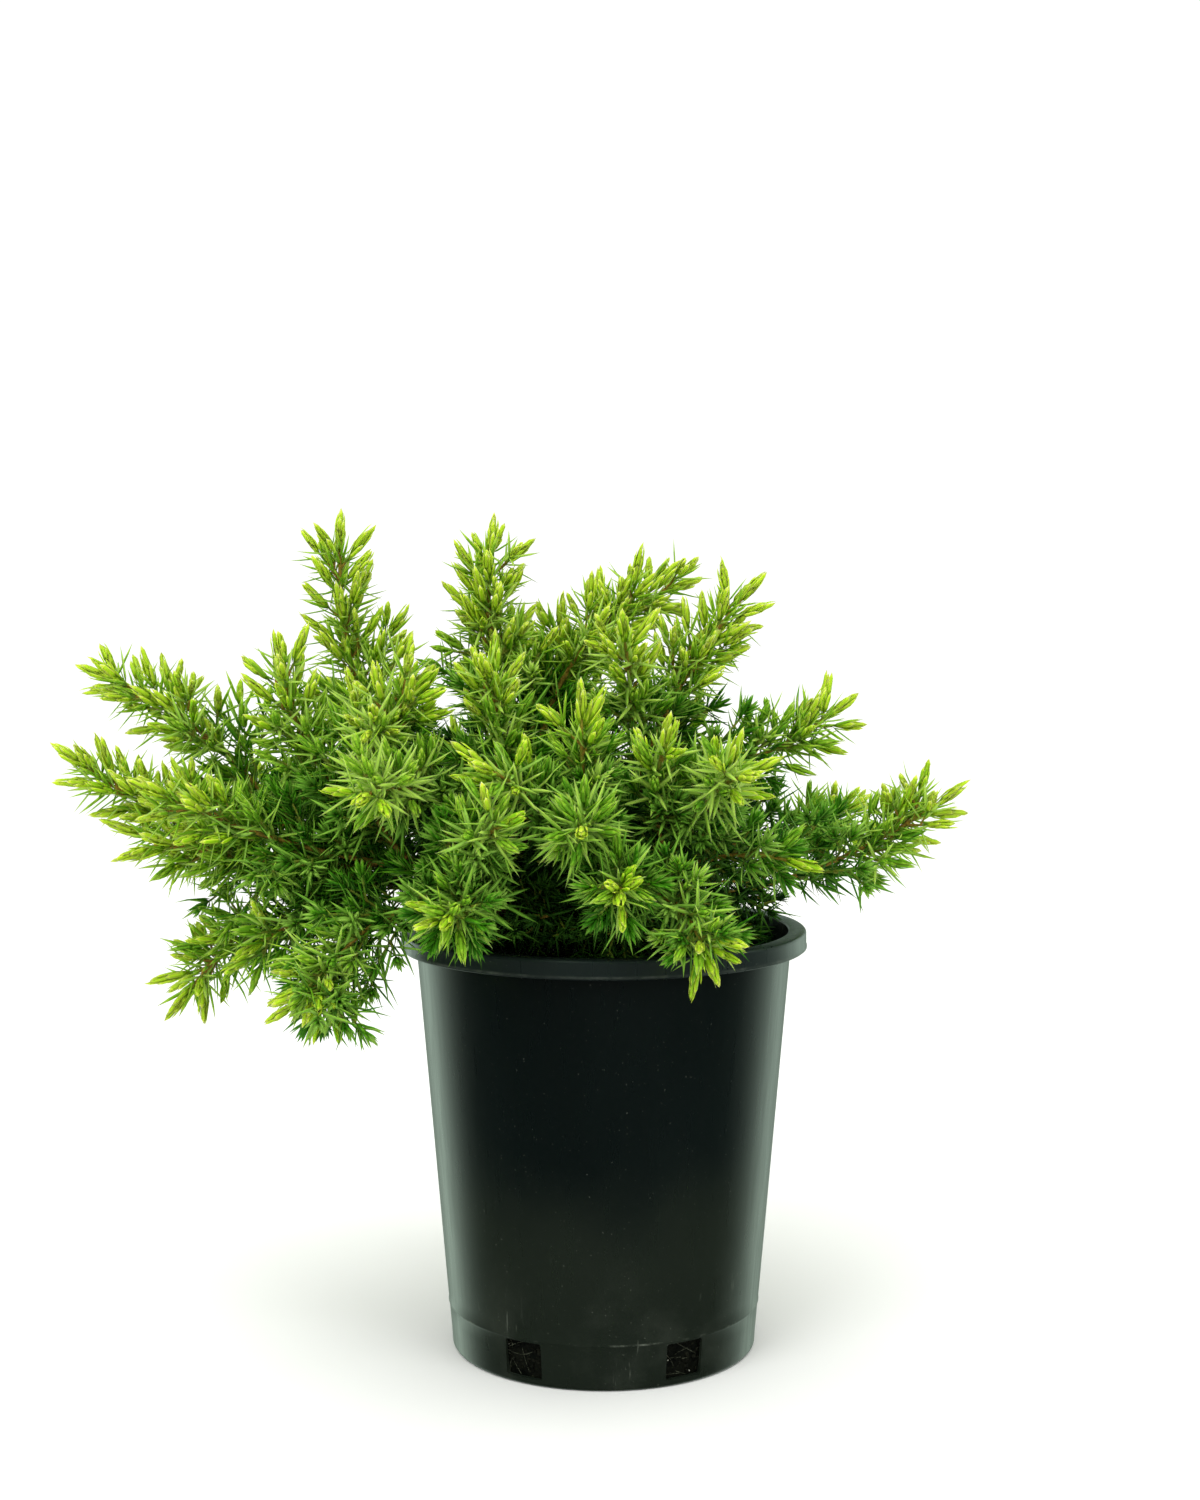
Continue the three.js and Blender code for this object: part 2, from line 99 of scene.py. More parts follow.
# Each mass: the bough that carries it, the heading, reach and height of its tip, how far the middle of its
# stem lies above the straight line and how far to the left of it, and the length of its lowest shoots.
MASSES = {
    "far_left": ("left", -177, 210, 239, -5, 0, 32),
    "left_arching": ("left", 175, 206, 273, 10, 0, 32),
    "left_low": ("left_front", -174, 188, 213, -6, 0, 32),
    "left_golden": ("left_front", -165, 178, 231, -4, 0, 32),
    "left_upright": ("left_front", -167, 130, 279, -9, 0, 32),
    "short_left": ("left_front", -139, 96, 270, 0, -16, 28),
    "tall_left": ("left_rising", 165, 114, 328, -8, 0, 38),
    "facing_left": ("front_left_rising", -128, 138, 236, 8, -8, 30),
    "upright_front": ("front_left_rising", -126, 70, 280, -6, 0, 32),
    "front_left": ("front_left_low", -116, 126, 193, 4, 0, 32),
    "front_rising": ("front_left_low", -108, 116, 226, 2, -9, 28),
    "facing_low_left": ("front_left_low", -140, 138, 161, 11, -8, 34),
    "hanging_left": ("hanging_left", -176, 169, 147, 14, 0, 34),
    "low_left": ("hanging_left", -160, 142, 173, 6, 0, 34),
    "front_high": ("front", -113, 106, 244, 4, 0, 30),
    "front_centre": ("front", -97, 70, 262, -6, 0, 32),
    "front_shoulder": ("front", -94, 112, 224, 4, 0, 30),
    "front_middle": ("front_low", -87, 110, 201, 6, 0, 32),
    "front_right": ("front_low", -70, 108, 178, 12, 0, 32),
    "golden_right": ("right_front", -61, 104, 241, 8, 0, 30),
    "right_low": ("right_front", -38, 90, 206, 4, 0, 32),
    "right_centre": ("right_front", -73, 76, 252, -4, -4, 30),
    "tall_middle": ("centre_left", 168, 47, 326, -6, 0, 38),
    "knob": ("centre_left", 122, 34, 294, -4, 0, 28),
    "arching_right": ("centre_left", 56, 54, 310, 18, 0, 32),
    "high_right": ("centre_right", 17, 60, 306, 4, 0, 32),
    "front_golden": ("centre_right", -76, 34, 290, 0, 0, 30),
    "mid_right": ("centre_right", 16, 100, 258, -7, 0, 32),
    "far_right": ("right", -4, 136, 224, -5, 0, 34),
    "back_far_right": ("back_right", 34, 140, 204, 4, 0, 34),
    "back_right": ("back_right", 62, 132, 224, 4, 0, 34),
    "back_middle": ("back", 90, 148, 206, 6, 0, 34),
    "back_upright": ("back", 98, 80, 274, -10, 0, 34),
    "back_low": ("back", 112, 128, 172, 12, 0, 32),
    "back_shoulder": ("back_left", 122, 132, 236, 4, 0, 34),
    "back_left": ("back_left", 156, 178, 218, 4, 0, 34),
    "back_rising": ("back_left", 149, 132, 260, -8, 0, 34),
    "inner_front": ("trunk", -95, 36, 250, -4, 0, 34),
    "inner_left": ("trunk", -158, 62, 244, 4, 0, 34),
    "inner_right": ("trunk", -20, 54, 236, 6, 0, 34),
    "inner_back_right": ("trunk", 50, 58, 250, 4, 0, 34),
    "inner_back_left": ("trunk", 118, 56, 252, 2, 0, 34),
}

# Masses that grow otherwise than most: how much fuller, how far their shoots are drawn up, and whether
# they end in an open star of shoots.
Habit = tuple[float, float, bool]
USUAL_HABIT = (1.0, 0.0, False)
HABITS = {
    "short_left": (1.4, 0.08, False),
    "upright_front": (1.1, 0.0, False),
    "left_upright": (1.15, 0.0, False),
    "left_low": (1.0, -0.05, False),
    "hanging_left": (1.1, -0.2, False),
    "low_left": (1.2, -0.3, False),
    "facing_low_left": (1.42, -0.46, True),
    "front_left": (1.0, -0.1, True),
    "front_right": (1.0, -0.1, True),
    "front_middle": (1.0, -0.1, True),
    "far_right": (1.05, -0.06, False),
    "tall_middle": (1.1, 0.0, False),
    "arching_right": (1.1, 0.05, False),
}


class Body(Enum):
    """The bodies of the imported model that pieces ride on."""

    ROOT = "root"


class Slot(Enum):
    """The record's material slots."""

    POT = "pot"
    MIX = "potting_mix"
    BARK = "bark"
    NEEDLES = "needles"


class Kind(Enum):
    """The ages of needle that the plant shows, dealt out by light: the darker ages low and deep in the crown
    are partly older needles and partly painted shade.
    """

    GOLDEN = "golden"
    FRESH = "fresh"
    MATURE = "mature"
    SHADED = "shaded"


class Zone(Enum):
    """The parts of a needle that differ in colour, in the order of their slots."""

    ROOT = 0
    BODY = 1
    TIP = 2
    BAND = 3


# Each age of needle: its width, and the light in which it has its brightest tint.
AGES = {Kind.GOLDEN: (1.8, 0.95), Kind.FRESH: (1.5, 0.88), Kind.MATURE: (1.5, 0.74), Kind.SHADED: (1.4, 0.4)}

# The tints of each age, dealt out by spray: a name, the glow, and the colour of each zone.
TINTS = {
    Kind.GOLDEN: [
        ("golden_lemon", 0.8, (136, 177, 26), (157, 195, 36), (180, 210, 58), (170, 204, 48)),
        ("golden_lime", 0.8, (116, 166, 20), (138, 184, 26), (160, 199, 42), (150, 192, 38)),
        ("golden_green", 0.8, (94, 150, 14), (116, 169, 20), (138, 185, 30), (130, 179, 30)),
    ],
    Kind.FRESH: [
        ("fresh_bright", 0.3, (100, 150, 24), (118, 167, 32), (140, 183, 44), (160, 200, 76)),
        ("fresh_green", 0.3, (79, 133, 19), (97, 150, 26), (116, 166, 35), (143, 188, 64)),
        ("fresh_deep", 0.2, (57, 108, 13), (72, 127, 19), (90, 144, 26), (124, 171, 54)),
    ],
    Kind.MATURE: [
        ("mature_sage", 0.0, (56, 112, 12), (72, 134, 18), (90, 149, 25), (142, 188, 72)),
        ("mature_green", 0.0, (44, 99, 8), (58, 120, 13), (74, 137, 18), (124, 174, 58)),
        ("mature_deep", 0.0, (31, 80, 5), (42, 100, 9), (55, 116, 12), (100, 152, 44)),
    ],
    # The darkest needles, deep and low in the crown: partly old needles, partly painted shade.
    Kind.SHADED: [
        ("shaded_green", 0.0, (18, 54, 4), (28, 77, 7), (37, 90, 9), (68, 116, 28)),
        ("shaded_deep", 0.0, (9, 34, 2), (17, 52, 4), (25, 67, 6), (44, 86, 18)),
    ],
}


# Directions, lines and seeded numbers


def unit(vectors: Array) -> Array:
    """The same directions with a length of one."""
    return vectors / np.maximum(np.linalg.norm(vectors, axis=-1, keepdims=True), 1e-12)


def limited(value: float) -> float:
    """A value kept between 0 and 1."""
    return min(1.0, max(0.0, value))


def place(heading: float, reach: float, height: float) -> Array:
    """A point by its heading round the pot's axis, its reach from it and its height."""
    angle = math.radians(heading)
    return np.array([reach * math.cos(angle), reach * math.sin(angle), height])


def direction(heading: float, climb: float) -> Array:
    """A unit vector by its heading and its climb above the horizon."""
    rise = math.radians(climb)
    return place(heading, math.cos(rise), math.sin(rise))


def turned(vector: Array, axis: Array, angle: float) -> Array:
    """A vector turned about a unit axis by an angle in radians.

    Args:
        vector: the vector.
        axis: the unit axis.
        angle: the angle in radians.

    Returns:
        The turned vector.
    """
    across = np.cross(axis, vector)
    cos, sin = math.cos(angle), math.sin(angle)
    return vector * cos + across * sin + axis * (axis @ vector) * (1 - cos)


def linear(red: int, green: int, blue: int) -> Colour:
    """A colour from its screen values, from 0 to 255, as Blender's linear colour."""
    shares = (channel / 255 for channel in (red, green, blue))
    return (*(s / 12.92 if s <= 0.04045 else ((s + 0.055) / 1.055) ** 2.4 for s in shares), 1.0)


def seeded_stream(seed: int) -> Callable[[], float]:
    """The source's repeatable stream of numbers from 0 to 1, by the seed of a mass.

    Args:
        seed: the number of the mass.

    Returns:
        A function that gives the next number at each call.
    """
    whole = 0xFFFFFFFF
    state = seed & whole

    def draw() -> float:
        """The next number.

        Returns:
            A number from 0 to 1.
        """
        nonlocal state
        state = (state + 0x6D2B79F5) & whole
        mixed = ((state ^ (state >> 15)) * (state | 1)) & whole
        mixed ^= (mixed + (((mixed ^ (mixed >> 7)) * (mixed | 61)) & whole)) & whole
        return ((mixed ^ (mixed >> 14)) & whole) / 4294967296

    return draw


@dataclass
class Line:
    """A Bezier line in millimetres, measured along its own length."""

    controls: Array
    divisions: int = 200

    def __post_init__(self) -> None:
        """Measures the line."""
        self.steps = np.linspace(0, 1, self.divisions + 1)
        points = self._blend(self.controls, self.steps)
        self.run = np.concatenate([[0.0], np.cumsum(np.linalg.norm(np.diff(points, axis=0), axis=1))])
        self.length = float(self.run[-1])

    @staticmethod
    def _blend(controls: Array, steps: Array) -> Array:
        """The points of a Bezier line at steps from 0 to 1.

        Args:
            controls: the line's control points.
            steps: the steps.

        Returns:
            A point for each step.
        """
        points = np.repeat(controls[None], len(steps), axis=0)
        late = steps[:, None, None]
        while points.shape[1] > 1:
            points = points[:, :-1] * (1 - late) + points[:, 1:] * late
        return points[:, 0]

    def _step(self, shares: Iterable[float]) -> Array:
        """The steps that lie at shares of the line's length."""
        return np.interp(np.atleast_1d(shares) * self.length, self.run, self.steps)

    def at(self, shares: Iterable[float]) -> Array:
        """The points at these shares of the line's length."""
        return self._blend(self.controls, self._step(shares))

    def tangent(self, shares: Iterable[float]) -> Array:
        """The unit directions of the line at these shares of its length."""
        return unit(self._blend(np.diff(self.controls, axis=0), self._step(shares)))

    def spot(self, share: float) -> tuple[Array, Array]:
        """The point and the unit direction at one share of the line's length."""
        return self.at([share])[0], self.tangent([share])[0]


def crosswise(tangents: Array) -> tuple[Array, Array]:
    """Two unit vectors square to each tangent, that turn little from one to the next.

    Args:
        tangents: unit directions along a line.

    Returns:
        The sideways vectors and the upper ones.
    """
    chord = tangents.sum(axis=0)
    reference = np.cross(chord, UP)
    if np.linalg.norm(reference) < 0.05 * np.linalg.norm(chord):
        reference = np.array([1.0, 0.0, 0.0])
    across = unit(reference - tangents * (tangents @ reference)[:, None])
    return across, np.cross(across, tangents)


def rounds(tangents: Array, turns: Array) -> Array:
    """Directions that stand out from each tangent, by their turns round it in radians."""
    across, over = crosswise(tangents)
    return across[:, None] * np.cos(turns)[..., None] + over[:, None] * np.sin(turns)[..., None]


# The build of the plant: the same lines as the solids have


@dataclass(frozen=True)
class TrunkLine:
    """The short trunk from the potting mix to its fork."""

    foot: float = 157.3
    height: float = 34
    lean: float = 3
    radius: float = 6.6
    flare: float = 12
    tip_radius: float = 5.2
    flare_share: float = 0.45

    def line(self) -> Line:
        """The trunk's own line."""
        top = self.foot + self.height
        return Line(np.array([[0, 0, self.foot], [0, 0, self.foot + self.height / 2], [-self.lean, 0, top]]))

    def radius_at(self, share: Array) -> Array:
        """The trunk's radius at shares of its length."""
        flare = (self.flare - self.radius) * np.maximum(0, 1 - share / self.flare_share) ** 2
        return self.radius + (self.tip_radius - self.radius) * share + flare


@dataclass(frozen=True)
class Framework:
    """The lines of the boughs and of the stems that they carry, by the source's rule."""

    trunk: TrunkLine = TrunkLine()
    root_pull: float = 0.42
    tip_pull: float = 0.3
    clearance: float = 0.3
    fork_spread: float = 1.9

    def bough_lines(self) -> dict[str, Line]:
        """The line of each bough.

        Returns:
            The lines by the names of the boughs.
        """
        made = {}
        for name, (leaves, heading, reach, height, climb) in BOUGHS.items():
            root = self.trunk.line().at([(leaves - self.trunk.foot) / self.trunk.height])[0]
            tip = place(heading, reach, height)
            span = np.linalg.norm(tip - root)
            after_root = root + direction(heading, climb) * span * self.root_pull
            before_tip = tip - unit(tip - root) * span * self.tip_pull
            made[name] = Line(np.array([root, after_root, before_tip, tip]))
        return made

    @staticmethod
    def _bend(root: Array, mass: str) -> tuple[Array, Array]:
        """The control point that bends a mass's stem off its straight line, and the stem's tip.

        Args:
            root: where the stem starts.
            mass: the name of the mass.

        Returns:
            The control point and the tip.
        """
        _, heading, reach, height, lift, swing, _ = MASSES[mass]
        tip = place(heading, reach, height)
        chord = tip - root
        left = unit(np.cross(UP, chord))
        above = unit(np.cross(chord, left))
        return root + chord / 2 + above * 2 * lift + left * 2 * swing, tip

    def _stems_of(self, limb: str, carrier: Line) -> dict[str, Line]:
        """The lines of the stems that a limb carries, their roots set evenly round its tip.

        Args:
            limb: the limb's name.
            carrier: its line.

        Returns:
            The lines by the names of the masses.
        """
        end, onward = carrier.spot(1)
        across = unit(np.cross(onward, UP))
        over = np.cross(across, onward)
        angles = []
        for name in (name for name, mass in MASSES.items() if mass[0] == limb):
            aim = self._bend(end, name)[0] - end
            angles.append((math.atan2(aim @ over, aim @ across), name))
        angles.sort()
        if not angles:
            return {}
        step = FULL_TURN / len(angles)
        stray = [angle - i * step for i, (angle, _) in enumerate(angles)]
        start = math.atan2(sum(map(math.sin, stray)), sum(map(math.cos, stray)))
        spread = self.fork_spread / math.sin(step / 2) if len(angles) > 1 else 0.0
        made = {}
        for i, (_, name) in enumerate(angles):
            turn = start + i * step
            root = end + onward * self.clearance + (across * math.cos(turn) + over * math.sin(turn)) * spread
            made[name] = Line(np.array([root, *self._bend(root, name)]))
        return made

    def stem_lines(self) -> dict[str, Line]:
        """The line of the stem of each mass, in the order of the masses.

        Returns:
            The lines by the names of the masses.
        """
        found = {}
        for limb, carrier in {"trunk": self.trunk.line(), **self.bough_lines()}.items():
            found.update(self._stems_of(limb, carrier))
        return {name: found[name] for name in MASSES}


@dataclass(frozen=True)
class Shoot:
    """A side shoot: where it leaves its stem, which way, how far it reaches and the light it stands in."""

    share: float
    root: Array
    aim: Array
    length: float
    exposed: float = 1.0


@dataclass(frozen=True)
class ShootRule:
    """The source's seeded rule for the side shoots of a stem."""

    step: float = 13
    late: float = 0.8
    shortest: float = 19
    golden_angle: float = 137.5
    skyward: float = 0.28

    def shoots(self, line: Line, longest: float, draw: Callable[[], float]) -> list[Shoot]:
        """The side shoots that stand along a stem.

        Args:
            line: the stem.
            longest: the length of its lowest shoots.
            draw: the stem's own stream of numbers.

        Returns:
            The shoots, from the root of the stem to its tip.
        """
        made = []
        for i in range(int((line.length - self.step) // self.step)):
            share = self.step * (i + self.late + 0.5 * draw()) / line.length
            root, along = line.spot(share)
            turn = math.radians(self.golden_angle * i + 40 * (draw() - 0.5))
            lean = math.radians(34 + 16 * draw())
            out = turned(unit(np.cross(along, UP)), along, turn)
            aim = unit(along * math.cos(lean) + out * math.sin(lean) + UP * self.skyward)
            vigour = (1 - share) ** 0.6 * (0.75 + 0.5 * draw())
            draw()
            made.append(Shoot(share, root, aim, self.shortest + (longest - self.shortest) * vigour))
        return made


# Node trees


class Wiring:
    """Adds the nodes of one tree and joins them."""

    def __init__(self, tree: bpy.types.NodeTree) -> None:
        """Takes the tree."""
        self.tree = tree

    def feed(self, node: bpy.types.Node, inputs: dict) -> None:
        """Joins a socket to each named or numbered input of a node, or sets its value.

        Args:
            node: the node.
            inputs: a socket or a value for each input.
        """
        for name, value in inputs.items():
            if isinstance(value, Socket):
                self.tree.links.new(value, node.inputs[name])
            else:
                node.inputs[name].default_value = value

    def node(self, kind: str, inputs: dict | None = None, **settings: object) -> Outputs:
        """Adds a node.

        Args:
            kind: Blender's name for the kind of node.
            inputs: its inputs by name or number, each a socket to join or a value to set.
            settings: the node's own settings.

        Returns:
            The node's outputs.
        """
        made = self.tree.nodes.new(kind)
        for name, value in settings.items():
            setattr(made, name, value)
        self.feed(made, inputs or {})
        return made.outputs

    def maths(self, operation: str, *values: object, clamp: bool = False) -> Socket:
        """The result of a Math node."""
        return self.node("ShaderNodeMath", dict(enumerate(values)), operation=operation, use_clamp=clamp)[0]

    def span(self, value: object, low: float, high: float, start: float = 0.0, end: float = 1.0) -> Socket:
        """A value that goes smoothly from start at low to end at high."""
        inputs = {"Value": value, 1: low, 2: high, 3: start, 4: end}
        return self.node("ShaderNodeMapRange", inputs, interpolation_type="SMOOTHSTEP")[0]

    def mix(self, share: object, first: object, second: object) -> Socket:
        """A colour between two, by the share of the second."""
        inputs = {"Factor": share, 6: first, 7: second}
        return self.node("ShaderNodeMix", inputs, data_type="RGBA", clamp_factor=True)[2]

    def noise(self, vector: object, scale: float, detail: float = 3.0, rough: float = 0.5) -> Socket:
        """The grey value of a Noise Texture."""
        inputs = {"Vector": vector, "Scale": scale, "Detail": detail, "Roughness": rough}
        return self.node("ShaderNodeTexNoise", inputs)["Fac"]

    def coordinates(self) -> Socket:
        """The piece's own Object coordinates, in metres."""
        return self.node("ShaderNodeTexCoord")["Object"]

    def scaled(self, vector: object, scale: tuple[float, float, float]) -> Socket:
        """A pattern's coordinates, drawn out or squeezed."""
        return self.node("ShaderNodeMapping", {"Vector": vector, "Scale": scale})[0]

    def bump(self, height: Socket, strength: float, distance: float) -> Socket:
        """A normal with relief, its depth in metres."""
        return self.node("ShaderNodeBump", {"Height": height, "Strength": strength, "Distance": distance})[0]

    def mottled(self, vector: Socket, scale: float, detail: float, first: Colour, second: Colour) -> Outputs:
        """The outputs of the group that deals out two colours in patches."""
        inputs = {"Vector": vector, "Scale": scale, "Detail": detail, "First": first, "Second": second}
        return self.node("ShaderNodeGroup", inputs, node_tree=mottle())


def group(name: str, inputs: dict[str, str], outputs: dict[str, str], wire: Callable) -> bpy.types.NodeTree:
    """A shader node group, built once.

    Args:
        name: its name.
        inputs: its inputs and their kinds.
        outputs: its outputs and their kinds.
        wire: adds its nodes, from a wiring and the inputs, and gives the socket of each output.

    Returns:
        The group.
    """
    if name in bpy.data.node_groups:
        return bpy.data.node_groups[name]
    tree = bpy.data.node_groups.new(name, "ShaderNodeTree")
    for side, sockets in (("INPUT", inputs), ("OUTPUT", outputs)):
        for socket, kind in sockets.items():
            tree.interface.new_socket(socket, in_out=side, socket_type=f"NodeSocket{kind}")
    w = Wiring(tree)
    found = wire(w, w.node("NodeGroupInput"))
    w.feed(tree.nodes.new("NodeGroupOutput"), found)
    return tree


def mottle() -> bpy.types.NodeTree:
    """Two colours dealt out in soft patches, with the mask that parts them.

    Returns:
        The group, with the outputs Colour and Mask.
    """

    def wire(w: Wiring, start: Outputs) -> dict[str, Socket]:
        """The patches.

        Args:
            w: the wiring of the group's tree.
            start: the group's inputs.

        Returns:
            The socket of each output.
        """
        inputs = {name: start[name] for name in ("Vector", "Scale", "Detail")}
        mask = w.span(w.node("ShaderNodeTexNoise", inputs)["Fac"], 0.36, 0.64)
        return {"Colour": w.mix(mask, start["First"], start["Second"]), "Mask": mask}

    inputs = {"Vector": "Vector", "Scale": "Float", "Detail": "Float", "First": "Color", "Second": "Color"}
    return group("Mottle", inputs, {"Colour": "Color", "Mask": "Float"}, wire)


def scuffs() -> bpy.types.NodeTree:
    """Dust and fine rubbed marks in a band of height that fades upwards.

    Returns:
        The group, with the outputs Dust and Marks.
    """

    def wire(w: Wiring, start: Outputs) -> dict[str, Socket]:
        """The dust and the marks.

        Args:
            w: the wiring of the group's tree.
            start: the group's inputs.

        Returns:
            The socket of each output.
        """
        vector = start["Vector"]
        band = {"Value": start["Height"], 1: start["Foot"], 2: start["Top"], 3: 1.0, 4: 0.0}
        fade = w.node("ShaderNodeMapRange", band)[0]
        cloud = w.span(w.noise(vector, 34, 5, 0.6), 0.46, 0.72)
        strokes = w.span(w.noise(w.scaled(vector, (1, 1, 0.12)), 520, 2, 0.5), 0.66, 0.72)
        marks = w.maths("MULTIPLY", strokes, w.span(w.noise(vector, 60, 2), 0.52, 0.66))
        return {"Dust": w.maths("MULTIPLY", cloud, fade), "Marks": w.maths("MULTIPLY", marks, fade)}

    inputs = {"Vector": "Vector", "Height": "Float", "Foot": "Float", "Top": "Float"}
    return group("Scuffs", inputs, {"Dust": "Float", "Marks": "Float"}, wire)


# Finishes


FINISHED: dict[str, bpy.types.Material] = {}


@dataclass(frozen=True)
class Finish:
    """A surface by its name, with a material that is built once."""

    name: str

    def skin(self, w: Wiring) -> dict:
        """What each input of the shader gets, by the input's name."""
        raise NotImplementedError

    def material(self) -> bpy.types.Material:
        """The material, built at the first call.

        Returns:
            The material.
        """
        if self.name not in FINISHED:
            made = FINISHED[self.name] = bpy.data.materials.new(self.name)
            made.use_nodes = True
            w = Wiring(made.node_tree)
            w.feed(made.node_tree.nodes["Principled BSDF"], self.skin(w))
        return FINISHED[self.name]


@dataclass(frozen=True)
class NeedleFinish(Finish):
    """One zone of a needle: a plain colour, an uneven waxy shine, and a glow where it is young."""

    colour: tuple[int, int, int]
    glow: float
    shine: Pair = (0.48, 0.7)

    def skin(self, w: Wiring) -> dict:
        """The plain colour, and the shine from the piece's own Object coordinates.

        Args:
            w: the wiring of the material's tree.

        Returns:
            The value or socket of each input of the shader.
        """
        return {
            "Base Color": linear(*self.colour),
            "Roughness": w.span(w.noise(w.coordinates(), 380, 3), 0.3, 0.7, *self.shine),
            "Specular IOR Level": 0.18,
            "Subsurface Weight": self.glow,
            "Subsurface Radius": (0.9, 1.0, 0.35),
            "Subsurface Scale": 0.002,
        }


def needle_finishes(kind: Kind) -> list[NeedleFinish]:
    """The finishes of an age of needle, tint by tint and zone by zone.

    Args:
        kind: the age.

    Returns:
        The finishes in the order of their numbers.
    """
    return [
        NeedleFinish(f"{name}_{zone.name.lower()}", colour, glow)
        for name, glow, *colours in TINTS[kind]
        for zone, colour in zip(Zone, colours)
    ]


@dataclass(frozen=True)
class BarkFinish(Finish):
    """Bark of one age: two colours in patches, with flakes and cracks drawn out along the limb."""

    first: tuple[int, int, int]
    second: tuple[int, int, int]
    crack: tuple[int, int, int]
    scale: float
    roughness: float

    def skin(self, w: Wiring) -> dict:
        """The bark, from the piece's own Object coordinates.

        Args:
            w: the wiring of the material's tree.

        Returns:
            The value or socket of each input of the shader.
        """
        where = w.coordinates()
        patches = w.mottled(where, self.scale, 4.0, linear(*self.first), linear(*self.second))
        fine = w.noise(where, self.scale * 4, 4, 0.65)
        cracks = w.span(fine, 0.38, 0.5, 0.75, 0.0)
        return {
            "Base Color": w.mix(cracks, patches["Colour"], linear(*self.crack)),
            "Roughness": w.span(fine, 0.3, 0.7, self.roughness + 0.1, self.roughness - 0.1),
            "Normal": w.bump(fine, 0.6, 0.0004),
            "Specular IOR Level": 0.25,
        }


OLD_BARK = BarkFinish("old_bark", (78, 56, 36), (114, 86, 54), (36, 24, 16), 210, 0.85)
STEM_BARK = BarkFinish("stem_bark", (134, 112, 38), (168, 138, 50), (98, 76, 26), 300, 0.7)
STEM_GREEN = BarkFinish("stem_green", (128, 138, 40), (150, 118, 40), (96, 84, 26), 260, 0.6)
TWIG_GREEN = BarkFinish("twig_green", (88, 132, 34), (122, 126, 40), (62, 88, 22), 320, 0.6)
BARK_CHIP = BarkFinish("bark_chip", (12, 14, 9), (24, 25, 16), (8, 9, 6), 260, 0.9)
WHITE_GRAIN = BarkFinish("white_grain", (150, 152, 138), (190, 192, 180), (96, 96, 84), 600, 0.8)
ROOT_SKIN = BarkFinish("root_skin", (52, 56, 42), (88, 92, 76), (22, 25, 18), 400, 0.8)


